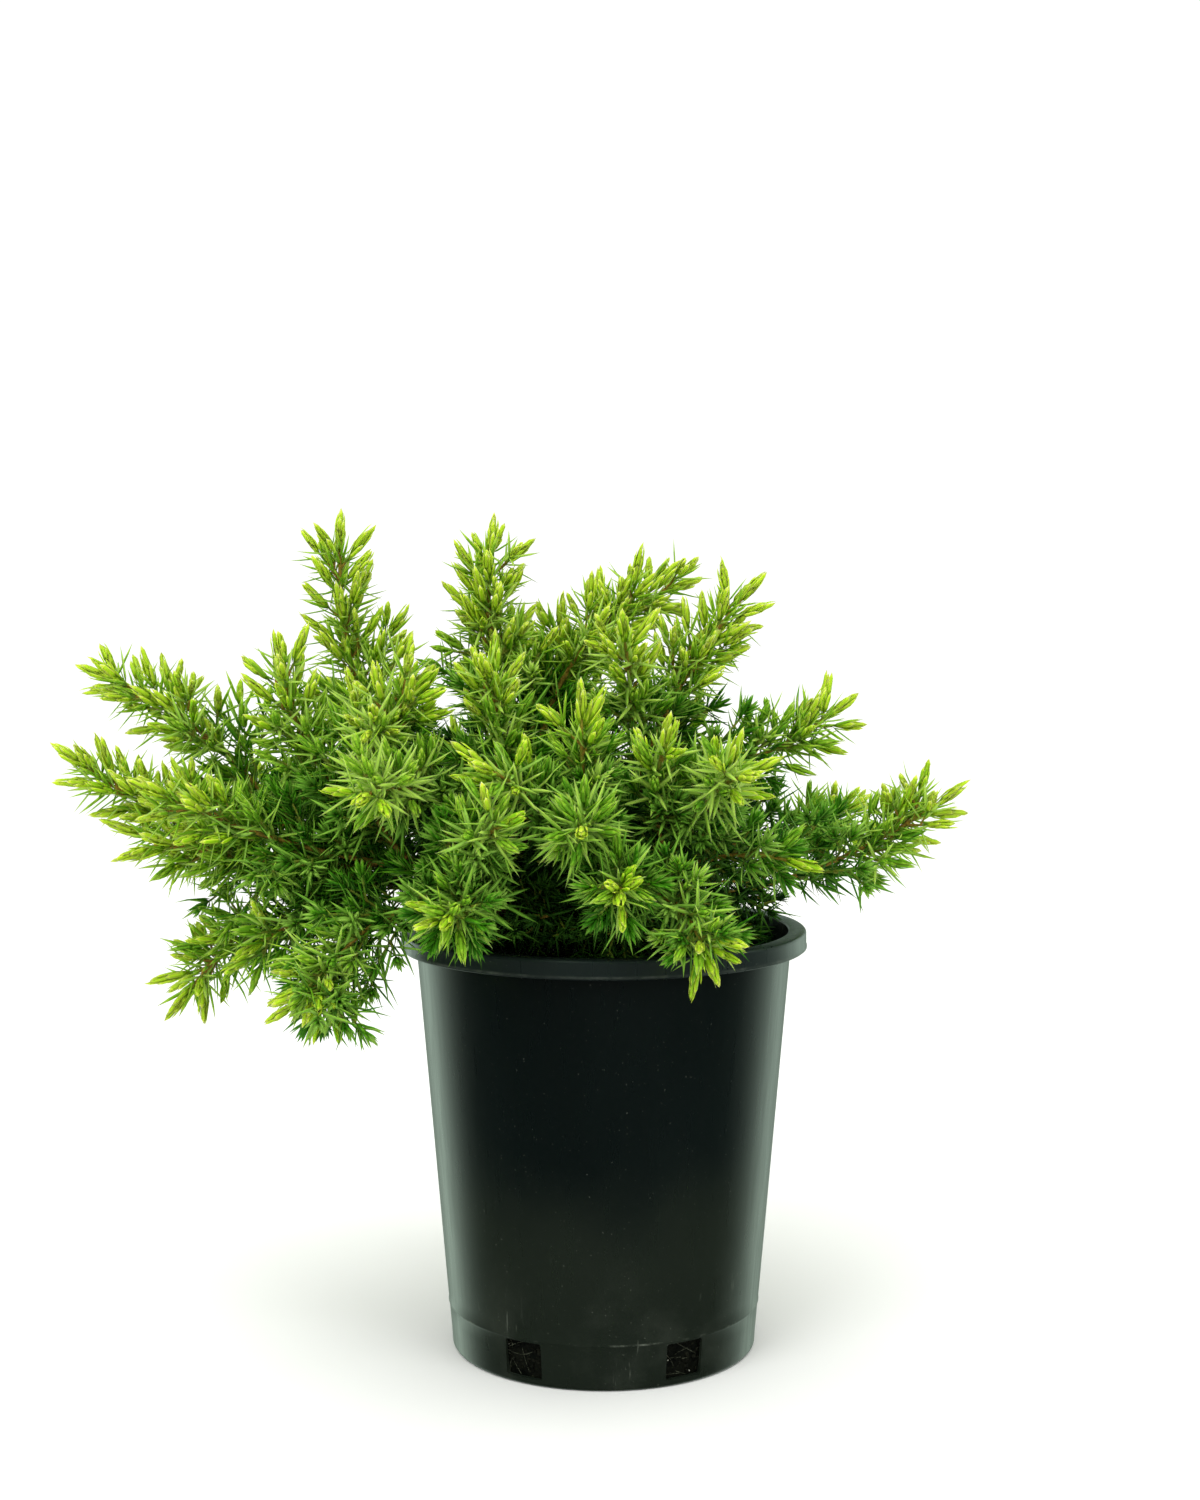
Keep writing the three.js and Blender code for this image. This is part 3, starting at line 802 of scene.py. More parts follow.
@dataclass(frozen=True)
class PlasticFinish(Finish):
    """Satin black moulded plastic with faint drawn streaks, a dusting and rubbed marks about the foot, a
    lighter lower wall that is partly dusting and partly a painted reflection of the floor, a painted sheen on
    the lip and a painted highlight along its hem.
    """

    name: str = "black_nursery_plastic"
    black: Colour = linear(8, 17, 16)
    worn: Colour = linear(14, 23, 22)
    # Partly a dusting, partly a painted reflection of the pale floor on the lower wall.
    dust_and_floor_reflection: Colour = linear(28, 35, 27)
    # Painted sheen: the lip lighter than the wall, in place of the light that it reflects.
    lip: Colour = linear(29, 38, 36)
    # The colour of the dusting, rubbed marks and the ridge's pale line, and of the painted highlight along
    # the lip's hem.
    dust: Colour = linear(150, 158, 142)
    roughness: float = 0.3
    hem_height: float = 0.1655
    ridge_height: float = 0.0185

    @staticmethod
    def _pale_line(w: Wiring, height: Socket, level: float, edges: Pair, marks: Socket) -> Socket:
        """Broken pale marks along a line at one height, used for the painted highlight along the lip's hem
        and for a pale line on the ridge.

        Args:
            w: the wiring.
            height: the height of each place.
            level: the line's height, in metres.
            edges: how far from it the marks begin to fade and end.
            marks: how strong they are from place to place.

        Returns:
            The strength of the marks.
        """
        off = w.maths("ABSOLUTE", w.maths("SUBTRACT", height, level))
        return w.maths("MULTIPLY", w.span(off, *edges, 1.0, 0.0), marks)

    def skin(self, w: Wiring) -> dict:
        """The plastic, from the piece's own Object coordinates.

        Args:
            w: the wiring of the material's tree.

        Returns:
            The value or socket of each input of the shader.
        """
        where = w.coordinates()
        height = w.node("ShaderNodeSeparateXYZ", {0: where})[2]
        patches = w.mottled(w.scaled(where, (1, 1, 0.35)), 14.0, 5.0, self.black, self.worn)
        foot = {"Vector": where, "Height": height, "Foot": 0.004, "Top": 0.055}
        rubbed = w.node("ShaderNodeGroup", foot, node_tree=scuffs())
        streaks = w.noise(w.scaled(where, (1, 1, 0.02)), 420, 3, 0.6)
        specks = w.span(w.noise(where, 1100, 1), 0.74, 0.78, 0.0, 0.55)
        worn = w.mix(w.maths("MULTIPLY", patches["Mask"], 0.5), self.black, patches["Colour"])
        wavy = w.maths("ADD", height, w.span(w.noise(where, 22, 3), 0.3, 0.7, -0.008, 0.008))
        # Lighter lower wall: partly a dusting, partly a painted reflection of the floor.
        dusty_reflected_base = w.mix(w.span(wavy, 0.05, 0.1, 0.85, 0.0), worn, self.dust_and_floor_reflection)
        # Painted sheen: the lip takes the lighter lip colour.
        base = w.mix(w.span(height, 0.1628, self.hem_height, 0.0, 0.8), dusty_reflected_base, self.lip)
        broken = w.span(w.noise(where, 60, 4, 0.7), 0.4, 0.7, 0.02, 0.16)
        # Painted highlight along the lip's hem, where its lower edge would catch the light.
        hem = self._pale_line(w, height, self.hem_height, (0.0002, 0.0007), broken)
        broken = w.span(w.noise(where, 90, 4, 0.7), 0.5, 0.72, 0.0, 0.3)
        ridge = self._pale_line(w, height, self.ridge_height, (0.0001, 0.0006), broken)
        dusty = w.maths("ADD", w.maths("MULTIPLY", rubbed["Dust"], 0.05), w.maths("MULTIPLY", specks, 0.25))
        # Rubbed marks, the ridge's pale line and the hem's painted highlight together.
        marks_and_highlight = w.maths("ADD", w.maths("MULTIPLY", rubbed["Marks"], 0.22), w.maths("ADD", ridge, hem))
        share = w.maths("ADD", dusty, marks_and_highlight, clamp=True)
        shine = w.span(streaks, 0.3, 0.7, self.roughness - 0.03, self.roughness + 0.04)
        return {
            "Base Color": w.mix(share, base, self.dust),
            "Roughness": w.maths("ADD", shine, share, clamp=True),
            "Normal": w.bump(w.noise(where, 900, 2), 0.04, 0.0003),
            "Specular IOR Level": 0.42,
        }


@dataclass(frozen=True)
class MixFinish(Finish):
    """Potting mix: dark crumbs of peat and bark with paler fibres."""

    name: str = "potting_mix_crumbs"
    dark: Colour = linear(6, 9, 6)
    brown: Colour = linear(14, 16, 9)
    pale: Colour = linear(44, 48, 32)

    def skin(self, w: Wiring) -> dict:
        """The crumbs, from the piece's own Object coordinates.

        Args:
            w: the wiring of the material's tree.

        Returns:
            The value or socket of each input of the shader.
        """
        where = w.coordinates()
        patches = w.mottled(where, 160.0, 6.0, self.dark, self.brown)
        fibres = w.span(w.noise(where, 700, 3, 0.7), 0.62, 0.72, 0.0, 0.8)
        crumbs = w.node("ShaderNodeTexVoronoi", {"Vector": where, "Scale": 420.0})["Distance"]
        return {
            "Base Color": w.mix(fibres, patches["Colour"], self.pale),
            "Roughness": w.span(crumbs, 0.1, 0.8, 0.95, 0.8),
            "Normal": w.bump(crumbs, 0.8, 0.001),
            "Specular IOR Level": 0.2,
        }


@dataclass(frozen=True)
class FloorFinish(Finish):
    """The plain pale floor."""

    name: str = "pale_floor"
    pale: Colour = (0.9, 0.9, 0.9, 1.0)
    shaded: Colour = (0.87, 0.87, 0.87, 1.0)

    def skin(self, w: Wiring) -> dict:
        """The floor's faint patches."""
        patches = w.mottled(w.coordinates(), 3.0, 2.0, self.pale, self.shaded)
        return {"Base Color": patches["Colour"], "Roughness": 0.9, "Specular IOR Level": 0.0}


# Objects


def linked(name: str, data: bpy.types.ID) -> Piece:
    """A new object in the scene that shows this data.

    Args:
        name: the object's name.
        data: its mesh, light or camera.

    Returns:
        The object, at the origin.
    """
    made = bpy.data.objects.new(name, data)
    bpy.context.scene.collection.objects.link(made)
    return made


def mesh_object(name: str, shape: Shape, smooth_angle: float = 32) -> Piece:
    """An object from a shape in metres, shaded smooth up to an angle in degrees.

    Args:
        name: the object's name.
        shape: the shape, which is freed.
        smooth_angle: the angle.

    Returns:
        The object, at the origin.
    """
    mesh = bpy.data.meshes.new(name)
    shape.to_mesh(mesh)
    shape.free()
    mesh.polygons.foreach_set("use_smooth", np.ones(len(mesh.polygons), dtype=bool))
    mesh.set_sharp_from_angle(angle=math.radians(smooth_angle))
    return linked(name, mesh)


def joined_mesh(name: str, points: Array, corners: Array, slots: Array, smooth: bool = True) -> Piece:
    """An object from arrays of triangles.

    Args:
        name: the piece's name.
        points: its points in millimetres.
        corners: the three points of each triangle.
        slots: the finish that each triangle has, by number.
        smooth: whether it is shaded smooth.

    Returns:
        The object, at the origin.
    """
    mesh = bpy.data.meshes.new(name)
    mesh.vertices.add(len(points))
    mesh.vertices.foreach_set("co", (points * MM).astype(np.float32).ravel())
    mesh.loops.add(corners.size)
    mesh.loops.foreach_set("vertex_index", corners.astype(np.int32).ravel())
    mesh.polygons.add(len(corners))
    mesh.polygons.foreach_set("loop_start", np.arange(0, corners.size, 3, dtype=np.int32))
    mesh.polygons.foreach_set("material_index", slots.astype(np.int32))
    mesh.update(calc_edges=True)
    if smooth:
        mesh.polygons.foreach_set("use_smooth", np.ones(len(corners), dtype=bool))
    return linked(name, mesh)


def keep(piece: Piece, slot: Slot, finishes: Iterable[Finish], replaced: Iterable[str] = ()) -> None:
    """Finishes a piece and lets it ride on the plant's body.

    Args:
        piece: the piece.
        slot: the material slot that it takes after; not used.
        finishes: its finishes, in the order of their numbers.
        replaced: the solids that it stands for, which are hidden.
    """
    for finish in finishes:
        piece.data.materials.append(finish.material())
    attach(piece, Body.ROOT.value)
    nodes = list(replaced)
    if nodes:
        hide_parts(*nodes)
    LOG.info("%s: %d faces", piece.name, len(piece.data.polygons))


# Needles and twigs, joined from arrays


def template(shape: Shape) -> tuple[Array, Array]:
    """The points and the triangles of a small shape.

    Args:
        shape: a shape of triangles.

    Returns:
        The points, and the three points of each triangle by number.
    """
    shape.verts.index_update()
    points = np.array([vertex.co[:] for vertex in shape.verts])
    return points, np.array([[vertex.index for vertex in face.verts] for face in shape.faces])


@dataclass(frozen=True)
class NeedleShape:
    """One needle, a unit long and wide, pointed at both ends: a three-cornered blade or a round spindle."""

    sides: int = 3
    shoulder: float = 0.2
    waist: float = 0.66
    waist_width: float = 0.82
    keel: float = 0.5
    plain: bool = False

    def arrays(self) -> tuple[Array, Array, Array]:
        """Models the needle and reads it off.

        Returns:
            The points, the corners of each triangle, and the zone that each triangle is in.
        """
        shape = bmesh.new()
        body = 1 - self.shoulder if self.plain else self.waist - self.shoulder
        late = 0 if self.plain else 0.5 * self.waist_width
        settings = {"segments": self.sides, "radius1": 0.5, "radius2": late, "depth": body}
        bmesh.ops.create_cone(shape, cap_ends=True, cap_tris=True, **settings)
        bmesh.ops.rotate(shape, verts=shape.verts, matrix=Matrix.Rotation(math.radians(-90), 3, "X"))
        bmesh.ops.translate(shape, verts=shape.verts, vec=(0, self.shoulder + body / 2, 0))
        flat = max(vertex.co.z for vertex in shape.verts) if self.sides == 3 else 0.0
        wide = 2 * max(vertex.co.x for vertex in shape.verts)
        for vertex in shape.verts:
            x, y, z = vertex.co
            if math.hypot(x, z) < 1e-6:
                vertex.co = (0, 0 if y < 0.5 else 1, 0)
            else:
                vertex.co = (x / wide, y, (z - flat) * self.keel)
        bmesh.ops.recalc_face_normals(shape, faces=shape.faces)
        bmesh.ops.triangulate(shape, faces=shape.faces)
        points, corners = template(shape)
        zones = np.array([self._zone(face).value for face in shape.faces])
        shape.free()
        return points, corners, zones

    def _zone(self, face: bmesh.types.BMFace) -> Zone:
        """The zone that a face of the needle is in.

        Args:
            face: the face.

        Returns:
            Its zone.
        """
        if self.sides == 3 and face.normal.z > 0.5:
            return Zone.BAND
        ends = [vertex.co.y for vertex in face.verts]
        if min(ends) == 0:
            return Zone.ROOT
        return Zone.TIP if max(ends) == 1 and not self.plain else Zone.BODY


@dataclass
class NeedleBed:
    """All needles of one age, until they are joined."""

    name: str
    kind: Kind
    shape: NeedleShape = NeedleShape()
    most_triangles: int = 187_200
    rows: list[Array] = field(default_factory=list)

    def add(self, roots: Array, aims: Array, uppers: Array, sizes: Array, tint: int, mass: int) -> None:
        """Takes in needles.

        Args:
            roots: where each stands.
            aims: the unit direction of each.
            uppers: the unit vector that each one's upper face looks along.
            sizes: the length, width and bend of each.
            tint: the tint of the spray that they belong to.
            mass: the number of the mass that they belong to.
        """
        marks = np.tile([float(tint), float(mass)], (len(roots), 1))
        self.rows.append(np.hstack([roots, aims, uppers, sizes, marks]))

    def pieces(self) -> list[tuple[Piece, list[int]]]:
        """Joins the needles into pieces.

        Returns:
            Each piece with the numbers of the masses that it holds.
        """
        rows = np.vstack(self.rows)
        rows = rows[np.argsort(rows[:, -1], kind="stable")]
        needle = self.shape.arrays()
        count = math.ceil(len(rows) * len(needle[1]) / self.most_triangles)
        masses = rows[:, -1]
        starts = [int(np.searchsorted(masses, masses[round(i * len(rows) / count)])) for i in range(count)]
        made = []
        for i, (first, last) in enumerate(zip(starts, [*starts[1:], len(rows)]), 1):
            part = rows[first:last]
            piece = joined_mesh(f"{self.name}_{self.kind.value}_{i}", *self._spread(part, *needle))
            made.append((piece, sorted({int(m) for m in part[:, -1]})))
        return made

    @staticmethod
    def _spread(rows: Array, points: Array, corners: Array, zones: Array) -> tuple[Array, Array, Array]:
        """Copies the one needle to each place.

        Args:
            rows: a row for each needle, as add writes it.
            points: the points of the one needle.
            corners: the corners of its triangles.
            zones: the zones of its triangles.

        Returns:
            The points, the corners and the finish of each triangle, of all needles together.
        """
        roots, aims, uppers = rows[:, 0:3], rows[:, 3:6], rows[:, 6:9]
        length, width, bend = (rows[:, i][:, None] for i in (9, 10, 11))
        sides = np.cross(aims, uppers)
        x, y, z = points.T
        over = z * width + bend * length * y**2
        placed = (
            roots[:, None]
            + sides[:, None] * (x * width)[..., None]
            + aims[:, None] * (y * length)[..., None]
            + uppers[:, None] * over[..., None]
        )
        shifted = corners[None] + (np.arange(len(rows)) * len(points))[:, None, None]
        slots = rows[:, 12][:, None] * len(Zone) + zones[None]
        return placed.reshape(-1, 3), shifted.reshape(-1, 3), slots.ravel()


@dataclass
class TwigBed:
    """Thin round limbs, until they are joined."""

    name: str
    sides: int
    points: list[Array] = field(default_factory=list)
    corners: list[Array] = field(default_factory=list)
    slots: list[Array] = field(default_factory=list)
    count: int = 0

    def add(
        self,
        line: Line,
        radii: Pair,
        rings: int,
        finish: Callable[[float], int] = lambda share: 0,
    ) -> None:
        """Takes in a limb with a pointed tip.

        Args:
            line: the limb's line.
            radii: its radius at the root and at the tip.
            rings: how many rings it has.
            finish: the number of the finish at a share of its length.
        """
        shares = np.linspace(0, 1, rings)
        tangents = line.tangent(shares)
        ring = np.arange(self.sides)
        out = rounds(tangents, (ring * FULL_TURN / self.sides)[None])
        radius = radii[0] + (radii[1] - radii[0]) * shares
        placed = line.at(shares)[:, None] + out * radius[:, None, None]
        tip = line.at([1])[0] + tangents[-1] * radii[1]
        following = (ring + 1) % self.sides
        low = (np.arange(rings - 1) * self.sides)[:, None]
        a, b = low + ring, low + following
        c, d = b + self.sides, a + self.sides
        walls = np.concatenate([np.stack([a, b, c], -1), np.stack([a, c, d], -1)], axis=1).reshape(-1, 3)
        last = (rings - 1) * self.sides
        cap = np.stack([last + ring, last + following, np.full(self.sides, rings * self.sides)], -1)
        marks = [finish(share) for share in shares[:-1]]
        self.points.append(np.vstack([placed.reshape(-1, 3), tip]))
        self.corners.append(np.concatenate([walls, cap]) + self.count)
        self.slots.append(np.repeat([*marks, marks[-1]], [*[2 * self.sides] * len(marks), self.sides]))
        self.count += rings * self.sides + 1

    def keep(self, slot: Slot, finishes: Iterable[Finish]) -> None:
        """Joins the limbs into one piece and finishes it."""
        parts = (np.vstack(self.points), np.vstack(self.corners), np.concatenate(self.slots))
        keep(joined_mesh(self.name, *parts), slot, finishes)


@dataclass
class Foliage:
    """Stems, shoots, twigs and needles, grown on from the limbs."""

    framework: Framework
    rule: ShootRule
    heart: tuple[float, float, float] = (-30, 10, 172)
    crown: tuple[float, float, float] = (175, 140, 165)
    shade_depth: Pair = (0.35, 0.44)
    open_height: Pair = (190, 110)
    left_reach: Pair = (95, 90)
    right_reach: Pair = (84, 56)
    inside_reach: float = 73.5
    inside_height: float = 158.5
    lip_reach: float = 84.2
    lip_height: float = 173.2
    lip_cover: tuple[float, float, float] = (-45, 10, 161)
    hang_height: float = 186
    hang_reach: float = 78
    hang_light: float = 0.37
    rim: float = 84
    rim_light: float = 0.36
    fresh_light: float = 0.56
    mature_light: float = 0.33
    loose_light: float = 0.52
    golden_light: Pair = (0.6, 0.24)
    tuft_lengths: Pair = (16.5, 12)
    needle_lengths: Pair = (17, 14)
    mature_gain: float = 1.5
    tip_loss: float = 1.5
    core_width: float = 0.2
    strand_width: float = 1.2
    pitch: float = 6.2
    fresh_pitch: float = 4.0
    close: float = 3.5
    open: float = 5.4
    bough_pace: float = 4.0
    finer_paces: Pair = (5.5, 9.5)
    busy_light: float = 0.7
    tip_zone: float = 58
    stem_radii: Pair = (1.2, 0.65)
    twig_radii: Pair = (0.7, 0.42)
    old_radii: Pair = (0.9, 0.5)
    skirt_twigs: int = 40
    seed: int = 20

    def __post_init__(self) -> None:
        """Makes the empty beds."""
        self.random = np.random.default_rng(self.seed)
        blades = {
            Kind.GOLDEN: NeedleShape(shoulder=0.3, waist=0.8, waist_width=0.9, keel=0.3),
            Kind.SHADED: NeedleShape(shoulder=0.14, plain=True),
        }
        spindle = NeedleShape(sides=8, shoulder=0.3, waist=0.68, waist_width=0.84, keel=1.0)
        self.beds = {kind: NeedleBed("needles", kind, blades.get(kind, NeedleShape())) for kind in Kind}
        self.cores = {kind: NeedleBed("tufts", kind, spindle) for kind in (Kind.GOLDEN, Kind.FRESH)}
        self.stems = TwigBed("young_stems", 6)
        self.twigs = TwigBed("green_twigs", 4)
        low, high = CAD_BOX
        self.lowest = np.array(low) / MM + 0.2
        self.highest = np.array(high) / MM - 0.2
        self.mass = 0

    def clear(self, points: Array) -> Array:
        """Which points are in the plant's own box and clear of the pot, its lip and the mix.

        Args:
            points: the points.

        Returns:
            True for each point that is free.
        """
        boxed = ((points > self.lowest) & (points < self.highest)).all(axis=-1)
        reach = np.hypot(points[..., 0], points[..., 1])
        height = points[..., 2]
        within = (reach < self.inside_reach) & (height > self.inside_height)
        return boxed & ((reach > self.lip_reach) | (height > self.lip_height) | within)

    def light(self, spot: Array, share: float) -> float:
        """How much light a place has. It sets the needles' age and tint, so their darker colours where it is
        low are partly older needles and partly painted shade.

        Args:
            spot: the place.
            share: how far along its stem it is.

        Returns:
            From 0 in the heart of the crown to 1 at its outside and top.
        """
        depth = float(np.linalg.norm((spot - np.array(self.heart)) / np.array(self.crown)))
        foot, rise = self.open_height
        height = (spot[2] - foot) / rise
        near, wide = self.left_reach if spot[0] < 0 else self.right_reach
        from_axis = math.hypot(spot[0], spot[1])
        open_sky = limited(max(height, (from_axis - near) / wide))
        dark, fade = self.shade_depth
        outside = limited((depth - dark) / fade) * (0.18 + 0.82 * open_sky)
        least = self.rim_light if from_axis > self.rim else 0.0
        return max(least, min(1.0, 0.62 * outside + 0.42 * share + 0.2 * limited(height - 0.25)))

    def _age(self, light: float) -> Kind:
        """The age of the open needles that a place with this much light bears: a darker age in less light,
        partly the plant's older needles and partly painted shade.

        Args:
            light: how much light the place has.

        Returns:
            The age.
        """
        if light > self.fresh_light:
            return Kind.FRESH
        return Kind.MATURE if light > self.mature_light else Kind.SHADED

    def _tint(self, kind: Kind, light: float) -> int:
        """A tint for a spray, brighter where there is more light: painted light and shade."""
        count = len(TINTS[kind])
        return int(np.clip(1.6 * count * (AGES[kind][1] - light) + self.random.normal(0, 0.65), 0, count - 1))

    def _needles(
        self,
        kind: Kind,
        tint: int,
        roots: Array,
        frames: tuple[Array, Array],
        angles: Array,
        lengths: Array,
        bend: float,
        slim: float = 1.0,
    ) -> None:
        """Sets needles that lean out from their limb, and leaves out those that would touch the pot.

        Args:
            kind: the age of the needles.
            tint: the tint of the spray.
            roots: where each stands.
            frames: the limb's direction at each, and the direction square to it that each leans to.
            angles: the angle between each and its limb, in radians.
            lengths: the length of each.
            bend: how far the tips turn back to the limb, as a share of the length.
            slim: how wide they are, as a share of an open needle's width.
        """
        tangents, outs = frames
        cos, sin = np.cos(angles)[:, None], np.sin(angles)[:, None]
        aims = tangents * cos + outs * sin
        uppers = tangents * sin - outs * cos
        bends = self.random.normal(bend, 0.06 if slim == 1.0 else 0.02, len(roots))
        widths = slim * AGES[kind][0] * self.random.uniform(0.88, 1.1, len(roots))
        tips = roots + aims * lengths[:, None] + uppers * (bends * lengths)[:, None]
        free = self.clear(tips) & self.clear(roots + aims * (0.5 * lengths)[:, None])
        if free.any():
            sizes = np.stack([lengths, widths, bends], axis=-1)
            self.beds[kind].add(roots[free], aims[free], uppers[free], sizes[free], tint, self.mass)

    def _whorls(self, line: Line, shares: Array, wander: float) -> tuple[Array, tuple[Array, Array]]:
        """The places and the directions of needles in whorls of three, each turned against the last.

        Args:
            line: the limb.
            shares: where the whorls are.
            wander: how far a needle strays from its even place, in radians.

        Returns:
            The roots, and the limb's direction and the outward direction at each.
        """
        tangents = line.tangent(shares)
        turns = self.random.uniform(0, FULL_TURN) + np.arange(len(shares))[:, None] * math.pi / 3
        turns = turns + np.arange(3) * FULL_TURN / 3
        turns = turns + self.random.normal(0, wander, turns.shape)
        outs = rounds(tangents, turns).reshape(-1, 3)
        return np.repeat(line.at(shares), 3, axis=0), (np.repeat(tangents, 3, axis=0), outs)

    def dress(
        self,
        line: Line,
        span: Pair,
        kind: Kind,
        length: Pair,
        angle: Pair,
        pitch: float,
        light: float,
    ) -> None:
        """Sets whorls of three needles along part of a limb.

        Args:
            line: the limb.
            span: where the whorls start and end, in millimetres from its root.
            kind: the age of the needles.
            length: the needles' length at the start and at the end.
            angle: their angle to the limb at the start and at the end, in degrees.
            pitch: the distance from whorl to whorl.
            light: how much light the spray has.
        """
        count = int((span[1] - span[0]) / pitch)
        if count < 1:
            return
        late = (np.arange(count) + self.random.uniform(0.25, 0.75, count)) / count
        shares = np.clip((span[0] + late * (span[1] - span[0])) / line.length, 0, 1)
        roots, frames = self._whorls(line, shares, 0.18)
        grown = np.repeat(late, 3)
        angles = np.radians(angle[0] + (angle[1] - angle[0]) * grown + self.random.normal(0, 7, 3 * count))
        lengths = (length[0] + (length[1] - length[0]) * grown) * self.random.uniform(0.84, 1.12, 3 * count)
        self._needles(kind, self._tint(kind, light), roots, frames, angles, lengths, 0.03)

    def tuft(self, root: Array, aim: Array, length: float, kind: Kind, whorls: int, light: float) -> None:
        """Sets a lance-shaped tuft of needles pressed to a core, or a loose one without a core in the shade.

        Args:
            root: where it starts.
            aim: the way it points.
            length: from its root to its point.
            kind: the age of its needles.
            whorls: how many whorls of three it has.
            light: how much light it has.
        """
        loose = light < self.loose_light
        shares = np.linspace(0, 1, 5 if loose else whorls)
        roots, frames = self._whorls(Line(np.array([root, root + aim * length * 0.36]), 2), shares, 0.15)
        late = np.repeat(shares, 3)
        if loose:
            angles = np.radians(50 - 24 * late + self.random.normal(0, 6, len(late)))
            lengths = length * (0.8 - 0.24 * late) * self.random.uniform(0.88, 1.12, len(late))
            self._needles(kind, self._tint(kind, light), roots, frames, angles, lengths, 0.08)
            return
        angles = np.radians(13 - 15 * late + self.random.normal(0, 2.5, len(late)))
        lengths = length * (0.6 + 0.04 * late) * self.random.uniform(0.86, 1.08, len(late))
        tint = self._tint(kind, light)
        swell = 0.5 * self.core_width * length * np.minimum(1, 0.4 + 0.85 * late) - 0.15
        roots = roots + frames[1] * swell[:, None]
        self._needles(kind, tint, roots, frames, angles, lengths, 0.08, self.strand_width)
        if self.clear(root + aim * length):
            sizes = np.array([[0.8 * length, 0.66 * self.core_width * length, 0.0]])
            self.cores[kind].add(root[None], aim[None], crosswise(aim[None])[0], sizes, tint, self.mass)

    @staticmethod
    def _out(along: Array, turn: float, lean: float, skyward: float) -> Array:
        """The direction of a shoot that leans out from its limb.

        Args:
            along: the limb's direction.
            turn: how far round the limb the shoot stands, in radians.
            lean: its angle to the limb, in degrees.
            skyward: how much it is drawn up.

        Returns:
            A unit vector.
        """
        out = rounds(along[None], np.array([[turn]]))[0, 0]
        return unit(along * math.cos(math.radians(lean)) + out * math.sin(math.radians(lean)) + UP * skyward)

    def shoot(self, root: Array, aim: Array, length: float, light: float, order: int) -> None:
        """Grows a side shoot with its needles, the tuft at its tip and its own finer shoots.

        Args:
            root: where it leaves its stem.
            aim: the way it leaves.
            length: how far it reaches, its tuft included.
            light: how much light it has, from 0 deep inside to 1 at a tip.
            order: 1 on a stem or a bough, 2 on a shoot.
        """
        draw = self.random
        tuft = self.tuft_lengths[order - 1] * (0.6 + 0.46 * light) * draw.uniform(0.8, 1.15)
        twig = max(2.0, length - 0.85 * tuft)
        tip = root + unit(aim + UP * 0.03) * twig
        line = Line(np.array([root, root + aim * twig * 0.5, tip]), 8)
        right, back, low = self.lip_cover
        covers_lip = tip[0] < right and tip[1] < back and tip[2] > low
        outside = tip[2] < self.hang_height and math.hypot(tip[0], tip[1]) > self.hang_reach
        hanging = outside and light < self.hang_light and not covers_lip
        if hanging or not self.clear(line.at([0.4, 1])).all():
            return
        brown = 0 if light > 0.8 and twig > 5 else 1
        self.twigs.add(line, self.twig_radii, 4, lambda share: brown if share < 0.4 else 1)
        kind = self._age(light + draw.normal(0, 0.09))
        pitch = self.fresh_pitch if kind is Kind.FRESH else self.pitch
        longest = self.needle_lengths[order - 1] + (self.mature_gain if kind is Kind.MATURE else 0)
        lengths = (longest, longest - self.tip_loss)
        self.dress(line, (0.6, twig + 1.5), kind, lengths, (74 - 8 * order, 48), pitch, light)
        low, rise = self.golden_light
        young = Kind.GOLDEN if draw.random() < (light - low) / rise else Kind.FRESH
        if light < self.loose_light:
            young = self._age(light + 0.08)
        self.tuft(tip, line.tangent([1])[0], tuft, young, 3, light)
        if order > 1:
            return
        pace = self.finer_paces[0 if light > self.busy_light else 1]
        for i in range(int((twig - 3) / pace)):
            spot, along = line.spot((3 + pace * (i + draw.uniform(0.1, 0.9))) / twig)
            turn = math.radians(self.rule.golden_angle * i) + draw.uniform(0, 1.5)
            finer = self._out(along, turn, draw.uniform(36, 52), 0.05)
            self.shoot(spot, finer, draw.uniform(14, 18), light, 2)

    def _turn(self, number: int, stray: float) -> float:
        """How far round its limb a shoot stands, by its number and how far it may stray, in degrees."""
        return math.radians(self.rule.golden_angle * number + self.random.uniform(-stray, stray))

    def _between(self, line: Line, longest: float, habit: Habit) -> list[Shoot]:
        """The shoots that stand between those of the source, closer and finer towards the tip.

        Args:
            line: the stem.
            longest: the length of its lowest shoots.
            habit: how the mass grows.

        Returns:
            The shoots.
        """
        draw = self.random
        fuller, lift, star = habit
        made = []
        run = 5.0
        while run < line.length - 5:
            left = line.length - run
            root, along = line.spot(run / line.length)
            near_tip = left < self.tip_zone
            lean = draw.uniform(34, 52) if near_tip else draw.uniform(46, 68)
            aim = self._out(along, self._turn(len(made), 25), lean, lift + draw.uniform(-0.06, 0.08))
            length = 18 + 0.17 * left if near_tip else draw.uniform(0.85, 1.25) * longest
            made.append(Shoot(run / line.length, root, aim, fuller * length * draw.uniform(0.9, 1.1)))
            run += (self.close if near_tip else self.open) * draw.uniform(0.75, 1.25)
        for i in range(11 if star else 0):
            inner = i < 4
            share = 1 - (draw.uniform(1, 6) if inner else draw.uniform(4, 18)) / line.length
            root, along = line.spot(share)
            turn = self._turn(i, 15)
            lean = draw.uniform(26, 44) if inner else draw.uniform(54, 84)
            length = draw.uniform(13, 17) if inner else draw.uniform(17, 23)
            aim = self._out(along, turn, lean, 0.0 if inner else 1.8 * lift)
            made.append(Shoot(share, root, aim, fuller * length, 1.05 if inner else 0.58))
        return made

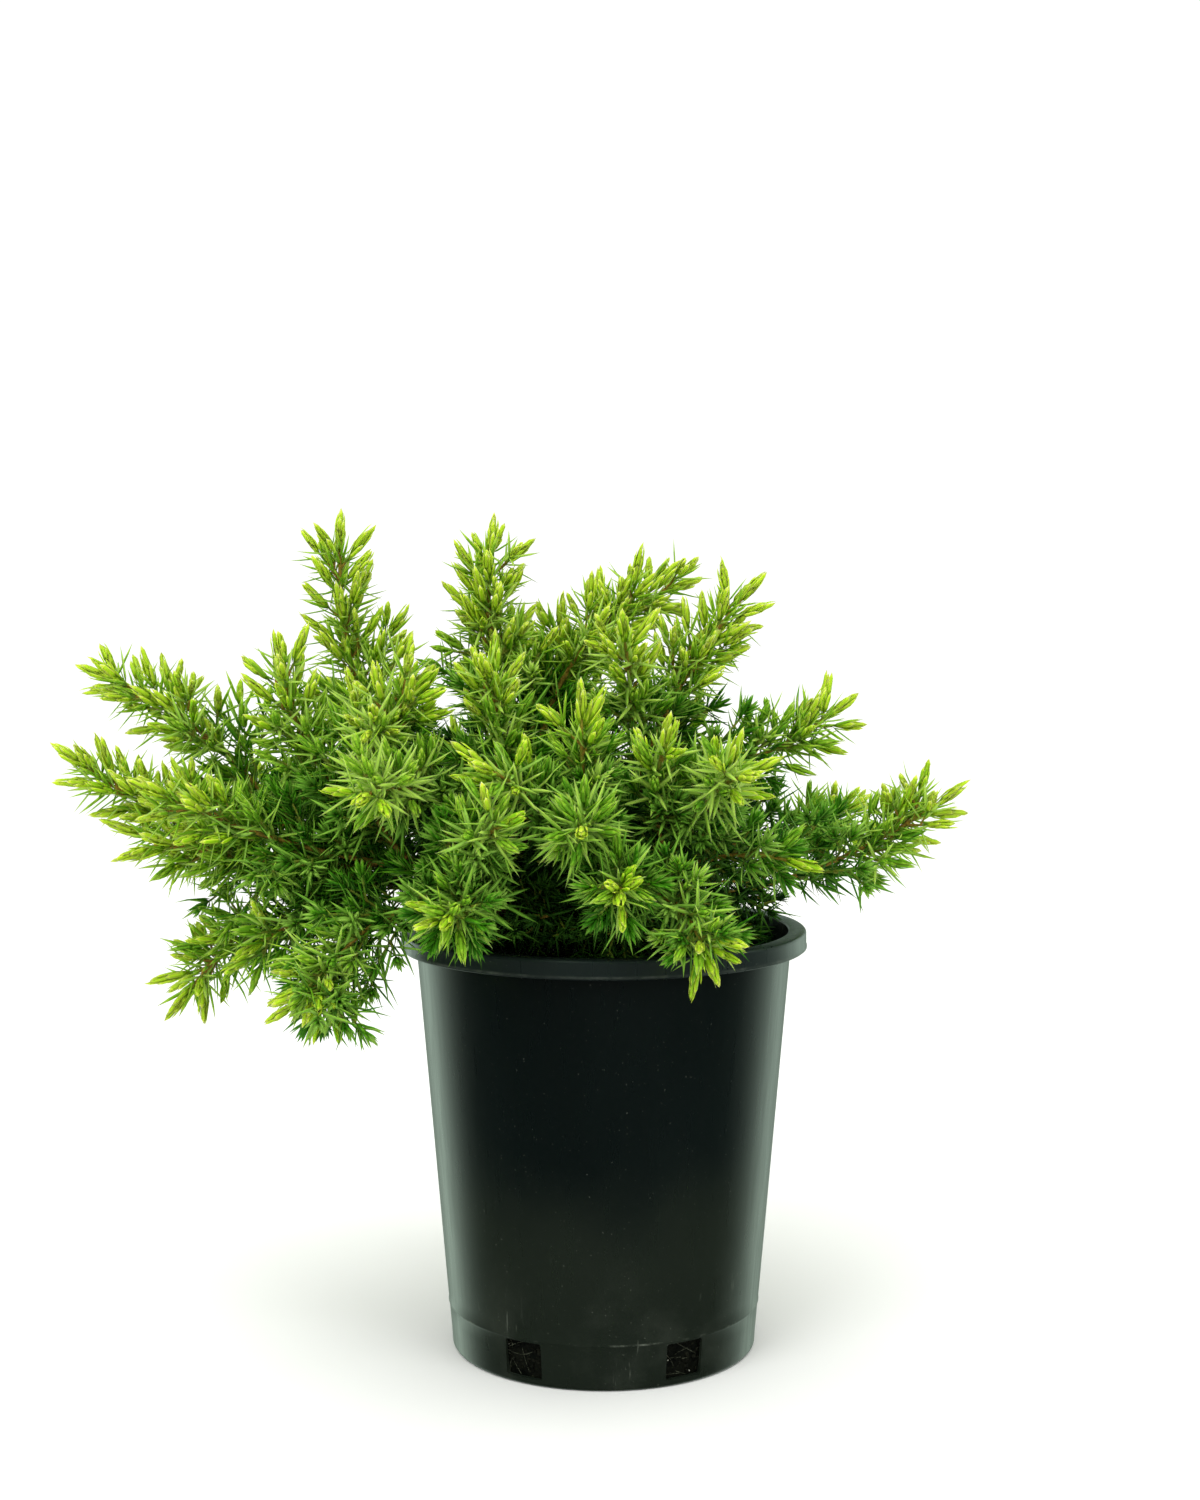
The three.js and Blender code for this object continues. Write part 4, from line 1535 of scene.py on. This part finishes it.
    def stem(self, line: Line, longest: float, seed: int, habit: Habit) -> None:
        """Grows one mass on its stem.

        Args:
            line: the stem.
            longest: the length of its lowest shoots.
            seed: its own seed in the source.
            habit: how the mass grows.
        """
        self.mass = seed - 1
        full = line.length
        brown = max(0.0, 1 - 22 / full)
        self.stems.add(line, self.stem_radii, 14, lambda share: 0 if share < brown else 1)
        shoots = self.rule.shoots(line, longest, seeded_stream(seed)) + self._between(line, longest, habit)
        for shoot in shoots:
            light = shoot.exposed * self.light(shoot.root + 0.6 * shoot.length * shoot.aim, shoot.share)
            self.shoot(shoot.root, shoot.aim, shoot.length, light, 1)
        steps = max(3, round(full / 14))
        for i in range(steps):
            first, last = (2 + (full - 5) * (i + end) / steps for end in (0, 1))
            share = (i + 0.5) / steps
            light = self.light(line.at([share])[0], share)
            length, angle = ((14, 11), (54, 30)) if i == steps - 1 else ((17, 16.5), (72, 62))
            self.dress(line, (first, last), self._age(light), length, angle, 4.2, light)
        tip, onward = line.spot(1)
        self.tuft(tip - onward * 3, onward, 18, Kind.GOLDEN, 4, self.light(tip, 1))

    def bough(self, line: Line) -> None:
        """Clothes a bough with leafy shoots all round, the old ones inside the rim dark: their darkest
        needles are partly old growth and partly painted shade.

        Args:
            line: the bough.
        """
        draw = self.random
        start = min(9.0, 0.2 * line.length)
        for i in range(int((line.length - start) / self.bough_pace)):
            spot, along = line.spot(min(1.0, (start + self.bough_pace * (i + draw.random())) / line.length))
            aim = self._out(along, self._turn(i, 25), draw.uniform(48, 84), draw.uniform(-0.15, 0.25))
            length = draw.uniform(20, 34)
            self.shoot(spot, aim, length, self.light(spot + 0.6 * length * aim, 0.0), 1)
        self.dress(line, (start, line.length), Kind.SHADED, (14, 15), (80, 66), 3.6, 0.0)

    def skirt(self) -> None:
        """Grows the old twigs that fill the space inside the rim, out from the trunk, with the darkest
        needles: partly old growth, partly painted shade.
        """
        draw = self.random
        trunk = self.framework.trunk.line()
        for i in range(self.skirt_twigs):
            heading = self.rule.golden_angle * i
            root = trunk.at([0.1 + 0.75 * i / self.skirt_twigs])[0]
            reach = draw.uniform(44, 68)
            tip = root + direction(heading, draw.uniform(2, 16)) * reach
            line = Line(np.array([root, (root + tip) / 2 + UP * draw.uniform(2, 6), tip]), 12)
            self.twigs.add(line, self.old_radii, 6)
            self.dress(line, (12, reach - 4), Kind.SHADED, (14, 15), (74, 60), 3.0, 0.0)
            for j in range(6):
                spot, along = line.spot(0.3 + 0.11 * (j + draw.random()))
                aim = self._out(along, 2.4 * j + draw.uniform(0, 1), draw.uniform(40, 60), 0.1)
                self.shoot(spot, aim, draw.uniform(18, 26), 0.0, 2)
            self.tuft(*line.spot(1), 13, Kind.SHADED, 5, 0.0)

    def build(self) -> None:
        """Grows everything and joins it into pieces."""
        for number, (name, line) in enumerate(self.framework.stem_lines().items(), 1):
            self.stem(line, MASSES[name][-1], number, HABITS.get(name, USUAL_HABIT))
        carriers = [mass[0] for mass in MASSES.values()]
        for name, line in self.framework.bough_lines().items():
            self.mass = carriers.index(name)
            self.bough(line)
        self.skirt()
        names = [f"foliage_{name}" for name in MASSES]
        for bed in (*self.beds.values(), *self.cores.values()):
            for piece, masses in bed.pieces():
                replaced = [names[i] for i in masses] if bed.kind is Kind.MATURE else []
                keep(piece, Slot.NEEDLES, needle_finishes(bed.kind), replaced)
        self.stems.keep(Slot.BARK, [STEM_BARK, STEM_GREEN])
        self.twigs.keep(Slot.BARK, [STEM_BARK, TWIG_GREEN])


# Woody limbs


@dataclass
class Wood:
    """The trunk and the boughs, with the relief of their bark in the mesh."""

    framework: Framework
    bough_radius: float = 2.9
    bough_tip_radius: float = 2.3
    collar: float = 0.9
    collar_length: float = 5
    relief: float = 0.42
    trunk_detail: tuple[int, float] = (40, 0.8)
    bough_detail: tuple[int, float] = (14, 1.1)

    def _limb(self, line: Line, radius_at: Callable[[Array], Array], sides: int, pace: float) -> Shape:
        """Models one limb: a tube drawn along its line, with ridges and flakes of bark.

        Args:
            line: the limb's line.
            radius_at: its radius at shares of its length.
            sides: how many sides it has.
            pace: the distance from ring to ring.

        Returns:
            The shape in metres.
        """
        rings = max(6, round(line.length / pace))
        tube = bmesh.new()
        settings = {"segments": sides, "radius1": 1, "radius2": 1, "depth": 1}
        bmesh.ops.create_cone(tube, cap_ends=True, cap_tris=True, **settings)
        upright = [edge for edge in tube.edges if abs(edge.verts[0].co.z - edge.verts[1].co.z) > 0.5]
        bmesh.ops.subdivide_edges(tube, edges=upright, cuts=rings - 1)
        places = np.array([vertex.co[:] for vertex in tube.verts])
        order, back = np.unique(np.round(np.clip(places[:, 2] + 0.5, 0, 1), 6), return_inverse=True)
        tangents = line.tangent(order)
        across, over = crosswise(tangents)
        middles, radii = line.at(order), radius_at(order)
        for vertex, flat, i in zip(tube.verts, places, back.reshape(-1)):
            if np.hypot(flat[0], flat[1]) < 0.5:
                vertex.co = Vector(middles[i] + tangents[i] * (0 if order[i] < 0.5 else 0.4)) * MM
                continue
            out = across[i] * flat[0] + over[i] * flat[1]
            travelled = order[i] * line.length
            seam = Vector((flat[0] * 2.2, flat[1] * 2.2, travelled * 0.16 + middles[0][0]))
            flake = Vector((flat[0] * 1.2, flat[1] * 1.2, travelled * 0.6))
            rough = 0.65 * noise.noise(seam * 2.0) + 0.35 * noise.noise(flake * 2.2)
            relief = self.relief * rough * (radii[i] / self.bough_radius) ** 0.5
            vertex.co = Vector(middles[i] + out * (radii[i] + relief)) * MM
        bmesh.ops.recalc_face_normals(tube, faces=tube.faces)
        return tube

    def build(self) -> None:
        """Models the trunk, and the boughs as one piece."""
        trunk = self._limb(self.framework.trunk.line(), self.framework.trunk.radius_at, *self.trunk_detail)
        boughs = bmesh.new()
        for line in self.framework.bough_lines().values():
            limb = self._limb(line, partial(self._bough_radius, line), *self.bough_detail)
            mesh = bpy.data.meshes.new("limb")
            limb.to_mesh(mesh)
            limb.free()
            boughs.from_mesh(mesh)
            bpy.data.meshes.remove(mesh)
        names = [f"bough_{name}" for name in BOUGHS]
        for name, shape, replaced in (("trunk_bark", trunk, ["trunk"]), ("bough_bark", boughs, names)):
            keep(mesh_object(name, shape, 80), Slot.BARK, [OLD_BARK], replaced)

    def _bough_radius(self, line: Line, share: Array) -> Array:
        """A bough's radius, thicker where it leaves the trunk."""
        taper = self.bough_radius + (self.bough_tip_radius - self.bough_radius) * share
        return taper + self.collar * np.exp(-share * line.length / self.collar_length)


# Pot and potting mix


def lathe(profile: Iterable[Pair], steps: int) -> Shape:
    """A closed shape turned from a profile.

    Args:
        profile: pairs of radius and height in millimetres, from the axis round to the axis.
        steps: how many steps the turn has.

    Returns:
        The shape in metres.
    """
    shape = bmesh.new()
    points = [shape.verts.new((radius * MM, 0, height * MM)) for radius, height in profile]
    edges = [shape.edges.new(pair) for pair in zip(points, points[1:])]
    settings = {"cent": (0, 0, 0), "axis": (0, 0, 1), "angle": FULL_TURN, "steps": steps, "use_merge": True}
    bmesh.ops.spin(shape, geom=[*points, *edges], **settings)
    bmesh.ops.remove_doubles(shape, verts=shape.verts, dist=1e-6)
    bmesh.ops.recalc_face_normals(shape, faces=shape.faces)
    return shape


@dataclass
class Pot:
    """A one-gallon nursery pot: tapered wall, foot band, drainage slots and a turned-down lip."""

    height: float = 172
    foot_radius: float = 62.3
    top_radius: float = 77
    wall: float = 1.6
    floor: float = 2.2
    lip_radius: float = 83
    lip_drop: float = 7.5
    lip_sheet: float = 1.8
    band_height: float = 18.5
    slot_count: int = 6
    slot_first_heading: float = -60
    slot_depth: float = 30
    slot_width: float = 16
    slot_foot: float = 2.6
    slot_top: float = 17.4
    slot_corner: float = 0.9
    steps: int = 160

    def wall_radius(self, height: float) -> float:
        """The radius of the outer wall at a height."""
        return self.foot_radius + (self.top_radius - self.foot_radius) * height / self.height

    @staticmethod
    def _rounded(centre: Pair, radius: float, start: float, end: float) -> list[Pair]:
        """The points of an arc, by its start and end in degrees."""
        angles = np.radians(np.linspace(start, end, 5))
        return [(centre[0] + radius * math.cos(a), centre[1] + radius * math.sin(a)) for a in angles]

    def _profile(self) -> list[Pair]:
        """The pot's section, from the middle of its underside out, up, over the lip and back down inside.

        Returns:
            Pairs of radius and height.
        """
        top, sheet, outer, foot = self.height, self.lip_sheet, self.lip_radius, self.foot_radius
        skin = outer - 0.35
        hem = top - self.lip_drop
        inner = self.top_radius - self.wall
        band = self.wall_radius(self.band_height)
        points = [(0, 1.0), (foot - 12, 1.0), (foot - 10.5, 0.0), (foot - 1.6, 0.0)]
        points += self._rounded((foot - 1.4, 1.5), 1.5, -80, 0)
        points += [(self.wall_radius(z) - 0.1, z) for z in (5, 9, 13, self.band_height - 1.0)]
        ridge = ((0.02, -0.5), (0.16, -0.15), (0.16, 0.25), (0.02, 0.7))
        points += [(band + out, self.band_height + up) for out, up in ridge]
        points += [(self.wall_radius(z), z) for z in (24, 40, 60, 80, 100, 120, 140, 158, top - sheet - 0.8)]
        points += [(self.top_radius + 0.5, top - sheet - 0.15), (outer - sheet - 0.8, top - sheet)]
        points += [(outer - sheet, top - sheet - 0.8), (outer - sheet, hem + 0.5)]
        points += self._rounded((outer - 0.75, hem + 0.75), 0.75, -170, 20)
        points += [(skin, hem + 1.9), (skin, top - 1.6)]
        points += self._rounded((skin - 1.3, top - 1.3), 1.3, 0, 90)
        points += [(inner + 1.6, top), (inner + 0.5, top - 0.15), (inner, top - 0.7)]
        points += [(self.wall_radius(z) - self.wall, z) for z in (165, 150, 120, 80, 40, 8)]
        points += [(self.wall_radius(self.floor) - self.wall - 1, self.floor + 0.3), (foot - 12, self.floor)]
        return [*points, (0, self.floor)]

    def _slot_cutter(self) -> Piece:
        """The six slots as one cutter.

        Returns:
            The cutter, for the pot's own modifier.
        """
        cutter = bmesh.new()
        tall = self.slot_top - self.slot_foot
        shift = Vector((self.foot_radius, 0, self.slot_foot + tall / 2)) * MM
        for i in range(self.slot_count):
            made = bmesh.ops.create_cube(cutter, size=1)["verts"]
            bmesh.ops.scale(cutter, verts=made, vec=Vector((self.slot_depth, self.slot_width, tall)) * MM)
            bmesh.ops.translate(cutter, verts=made, vec=shift)
            turn = math.radians(self.slot_first_heading + i * 360 / self.slot_count)
            bmesh.ops.rotate(cutter, verts=made, cent=(0, 0, 0), matrix=Matrix.Rotation(turn, 3, "Z"))
        level = [edge for edge in cutter.edges if abs(edge.verts[0].co.z - edge.verts[1].co.z) < 1e-7]
        deep = [edge for edge in level if edge.calc_length() > 0.02]
        settings = {"segments": 3, "profile": 0.5, "affect": "EDGES", "material": -1}
        bmesh.ops.bevel(cutter, geom=deep, offset=self.slot_corner * MM, **settings)
        return mesh_object("slot_cutter", cutter)

    def build(self) -> None:
        """Turns the pot, cuts its slots and dresses it."""
        pot = mesh_object("nursery_pot", lathe(self._profile(), self.steps))
        cutter = self._slot_cutter()
        cut = pot.modifiers.new("slots", "BOOLEAN")
        cut.operation, cut.solver, cut.object = "DIFFERENCE", "EXACT", cutter
        bpy.context.view_layer.update()
        mesh = bpy.data.meshes.new_from_object(pot.evaluated_get(bpy.context.evaluated_depsgraph_get()))
        pot.modifiers.clear()
        pot.data = mesh
        mesh.name = "nursery_pot"
        mesh.set_sharp_from_angle(angle=math.radians(32))
        mesh.materials.clear()
        bpy.data.objects.remove(cutter)
        keep(pot, Slot.POT, [PlasticFinish()], ["pot"])


@dataclass
class PottingMix:
    """The filled pot: a crumbly top, chips and white grains, and the root ball that shows in the slots."""

    pot: Pot
    top: float = 157
    crown: float = 1.5
    crown_reach: float = 74
    clearance: float = 0.6
    chips: int = 900
    grains: int = 420
    roots: int = 54
    root_radii: Pair = (0.13, 0.07)
    seed: int = 7

    def _inside(self, height: float) -> float:
        """The radius of the mix at a height."""
        return self.pot.wall_radius(height) - self.pot.wall - self.clearance

    def _surface(self, reach: float) -> float:
        """The height of the crowned top at a reach from the axis."""
        return self.top - self.crown * (reach / self.crown_reach) ** 2

    def _body(self) -> None:
        """The mix itself, with its lumps."""
        foot = self.pot.floor + 0.3
        steps = np.linspace(0, 1, 26)
        crown = [(radius, self._surface(radius)) for radius in np.linspace(0, 73, 36)]
        wall = [(self._inside(z), z) for z in foot + steps * (self.top - 3 - foot)]
        shape = lathe([(0, foot), (30, foot), *wall, *reversed(crown)], 120)
        for vertex in shape.verts:
            point = vertex.co / MM
            lump = noise.noise(point * 0.11) + 0.6 * noise.noise(point * 0.4) + 0.4 * noise.noise(point * 1.1)
            if point.z > self.top - 4:
                vertex.co.z += lump * 1.5 * MM
            elif math.hypot(point.x, point.y) > 40:
                shrink = 1 - 0.012 * abs(lump)
                vertex.co.x *= shrink
                vertex.co.y *= shrink
        keep(mesh_object("potting_mix_body", shape, 60), Slot.MIX, [MixFinish()], ["potting_mix"])

    def _scatter(self, name: str, count: int, size: Pair, flat: float, every: int, tone: Finish) -> None:
        """Small chips or grains, sunk in the top of the mix and in the root ball behind the slots.

        Args:
            name: the piece's name.
            count: how many there are.
            size: the smallest and the largest, in millimetres.
            flat: how thick each is, as a share of its size.
            every: how many there are for each one behind a slot.
            tone: their finish.
        """
        draw = np.random.default_rng(self.seed + count)
        chip = bmesh.new()
        bmesh.ops.create_icosphere(chip, subdivisions=1, radius=0.5)
        points, corners = template(chip)
        chip.free()
        placed = []
        for i in range(count):
            low = i % every == 0
            if low:
                heading = self.pot.slot_first_heading + 60 * draw.integers(6) + draw.uniform(-8, 8)
                height = draw.uniform(4, 16.5)
                middle = place(heading, self._inside(height) - draw.uniform(0.0, 0.5), height)
            else:
                reach = 70 * math.sqrt(draw.random())
                middle = place(draw.uniform(0, 360), reach, self._surface(reach) + 0.2)
            scale = draw.uniform(*size) * np.array([1, draw.uniform(0.45, 0.9), flat]) * (0.5 if low else 1)
            spin = np.linalg.qr(draw.normal(size=(3, 3)))[0] if low else None
            shape = points * (1 + draw.normal(0, 0.14, (len(points), 1))) * scale
            if spin is None:
                turn = Matrix.Rotation(draw.uniform(0, math.pi), 3, "Z")
                spin = np.array(turn @ Matrix.Rotation(draw.normal(0, 0.3), 3, "X"))
            placed.append(shape @ spin.T + middle)
        joined = [corners + i * len(points) for i in range(count)]
        slots = np.zeros(count * len(corners))
        keep(joined_mesh(name, np.vstack(placed), np.vstack(joined), slots, smooth=False), Slot.MIX, [tone])

    def _roots(self) -> None:
        """Fine roots over the root ball behind the slots."""
        draw = np.random.default_rng(self.seed)
        bed = TwigBed("fine_roots", 4)
        for i in range(self.roots):
            heading = self.pot.slot_first_heading + 60 * (i % 6) + draw.uniform(-9, 9)
            height = draw.uniform(3, 15)
            start = place(heading, self._inside(height) + 0.05, height)
            over = np.clip(height + draw.normal(0, 6), 3.0, 17.0)
            end = place(heading + draw.normal(0, 6), self._inside(over) + 0.05, over)
            middle = (start + end) / 2 + draw.normal(0, 1.2, 3)
            middle[:2] *= self._inside(middle[2]) / math.hypot(middle[0], middle[1])
            bed.add(Line(np.array([start, middle, end]), 8), self.root_radii, 6)
        bed.keep(Slot.MIX, [ROOT_SKIN])

    def build(self) -> None:
        """Fills the pot."""
        self._body()
        self._scatter("mix_chips", self.chips, (2.0, 6.5), 0.3, 3, BARK_CHIP)
        self._scatter("mix_grains", self.grains, (0.9, 2.2), 0.8, 16, WHITE_GRAIN)
        self._roots()


# Studio


# Each softbox: where it stands and its width in metres, and its power in watts.
SOFTBOXES = {
    "front_left": ((-1.1, -1.5, 1.3), 1.1, 14),
    "front_right": ((1.3, -1.3, 1.1), 1.0, 10),
}


@dataclass(frozen=True)
class Studio:
    """A plain pale floor, soft light from a white surround, and the camera of the photograph."""

    image_height: float = 1500
    focal_pixels: float = 2196
    sensor: float = 36
    camera_place: tuple[float, float, float] = (-0.0015, -0.891, 0.3117)
    camera_dip: float = 4.32
    floor_size: float = 12
    floor_drop: float = 0.0002
    ambient: float = 0.82
    left_panel: float = 2.2
    right_panel: float = 1.8
    back_wall: float = 0.5
    ceiling: float = 0.9
    crown_middle: tuple[float, float, float] = (0, 0, 0.2)
    overhead_strength: float = 1.8
    overhead_spread: float = 60
    overhead_tilt: Pair = (18, -8)

    def build(self) -> None:
        """Sets the floor, the lights, the surround and the camera."""
        self._floor()
        self._surround()
        sun = {"energy": self.overhead_strength, "angle": math.radians(self.overhead_spread)}
        overhead = self._lamp("overhead", "SUN", **sun)
        overhead.rotation_euler = (*(math.radians(tilt) for tilt in self.overhead_tilt), 0)
        for name, (spot, width, power) in SOFTBOXES.items():
            box = self._lamp(name, "AREA", shape="RECTANGLE", size=width, size_y=width, energy=power)
            box.location = spot
            look = Vector(self.crown_middle) - Vector(spot)
            box.rotation_euler = look.to_track_quat("-Z", "Y").to_euler()
        self._camera()
        settings = bpy.context.scene.view_settings
        settings.view_transform = "Standard"
        settings.look = "None"

    def _floor(self) -> None:
        """A wide plane, a hair below the pot."""
        plane = bmesh.new()
        bmesh.ops.create_grid(plane, x_segments=4, y_segments=4, size=self.floor_size / 2)
        bmesh.ops.translate(plane, verts=plane.verts, vec=(0, 0, -self.floor_drop))
        floor = mesh_object("floor", plane)
        floor.data.materials.append(FloorFinish().material())
        floor.visible_glossy = False

    def _surround(self) -> None:
        """White for the eye, dim for diffuse light, and for gloss two bright panels, a wall and a ceiling."""
        world = bpy.data.worlds.new("white_surround")
        bpy.context.scene.world = world
        world.use_nodes = True
        w = Wiring(world.node_tree)
        rays = w.node("ShaderNodeLightPath")
        glossy, seen = rays["Is Glossy Ray"], rays["Is Camera Ray"]
        across, back, up = w.node("ShaderNodeSeparateXYZ", {0: w.node("ShaderNodeTexCoord")["Generated"]})
        left = w.span(w.maths("MULTIPLY", across, -1.0), 0.3, 0.62, 0.0, self.left_panel)
        beside = w.maths("ADD", left, w.span(across, 0.18, 0.7, 0.0, self.right_panel))
        panels = w.maths("MULTIPLY", beside, w.span(back, 0.1, 0.85))
        wall = w.span(back, 0.0, 0.5, 0.0, self.back_wall)
        above = w.span(up, 0.35, 0.85, 0.0, self.ceiling)
        in_gloss = w.maths("MAXIMUM", w.maths("MAXIMUM", panels, wall), above)
        behind = w.span(back, -0.4, 0.8, 0.7 * self.ambient, 1.3 * self.ambient)
        level = w.maths("ADD", w.maths("MULTIPLY", glossy, w.maths("SUBTRACT", in_gloss, behind)), behind)
        shade = w.mix(glossy, (0.96, 1.0, 0.9, 1.0), (0.78, 1.0, 0.83, 1.0))
        tone = w.mix(seen, shade, (1.0, 1.0, 1.0, 1.0))
        strength = w.maths("MAXIMUM", level, w.maths("MULTIPLY", seen, 1.1))
        w.feed(world.node_tree.nodes["Background"], {"Color": tone, "Strength": strength})

    @staticmethod
    def _lamp(name: str, kind: str, **settings: object) -> Piece:
        """A light that doesn't show in the pot's gloss, by its kind and Blender's own settings.

        Args:
            name: the light's name.
            kind: its kind.
            settings: its other settings.

        Returns:
            The light's object.
        """
        light = bpy.data.lights.new(name, kind)
        for key, value in settings.items():
            setattr(light, key, value)
        lamp = linked(name, light)
        lamp.visible_glossy = False
        return lamp

    def _camera(self) -> None:
        """The camera at the photograph's viewing angle."""
        lens = bpy.data.cameras.new("photo_camera")
        lens.sensor_fit = "VERTICAL"
        lens.sensor_height = lens.sensor_width = self.sensor
        lens.lens = self.sensor * self.focal_pixels / self.image_height
        lens.clip_start, lens.clip_end = 0.05, 50
        camera = linked("photo_camera", lens)
        camera.location = self.camera_place
        camera.rotation_euler = (math.radians(90 - self.camera_dip), 0, 0)
        bpy.context.scene.camera = camera


def main() -> None:
    """Builds the pot, its filling, the wood, the foliage and the studio."""
    logging.basicConfig(level=logging.INFO, format="%(message)s")
    framework = Framework()
    pot = Pot()
    pot.build()
    PottingMix(pot).build()
    Wood(framework).build()
    Foliage(framework, ShootRule()).build()
    Studio().build()


if __name__ == "__main__":
    main()
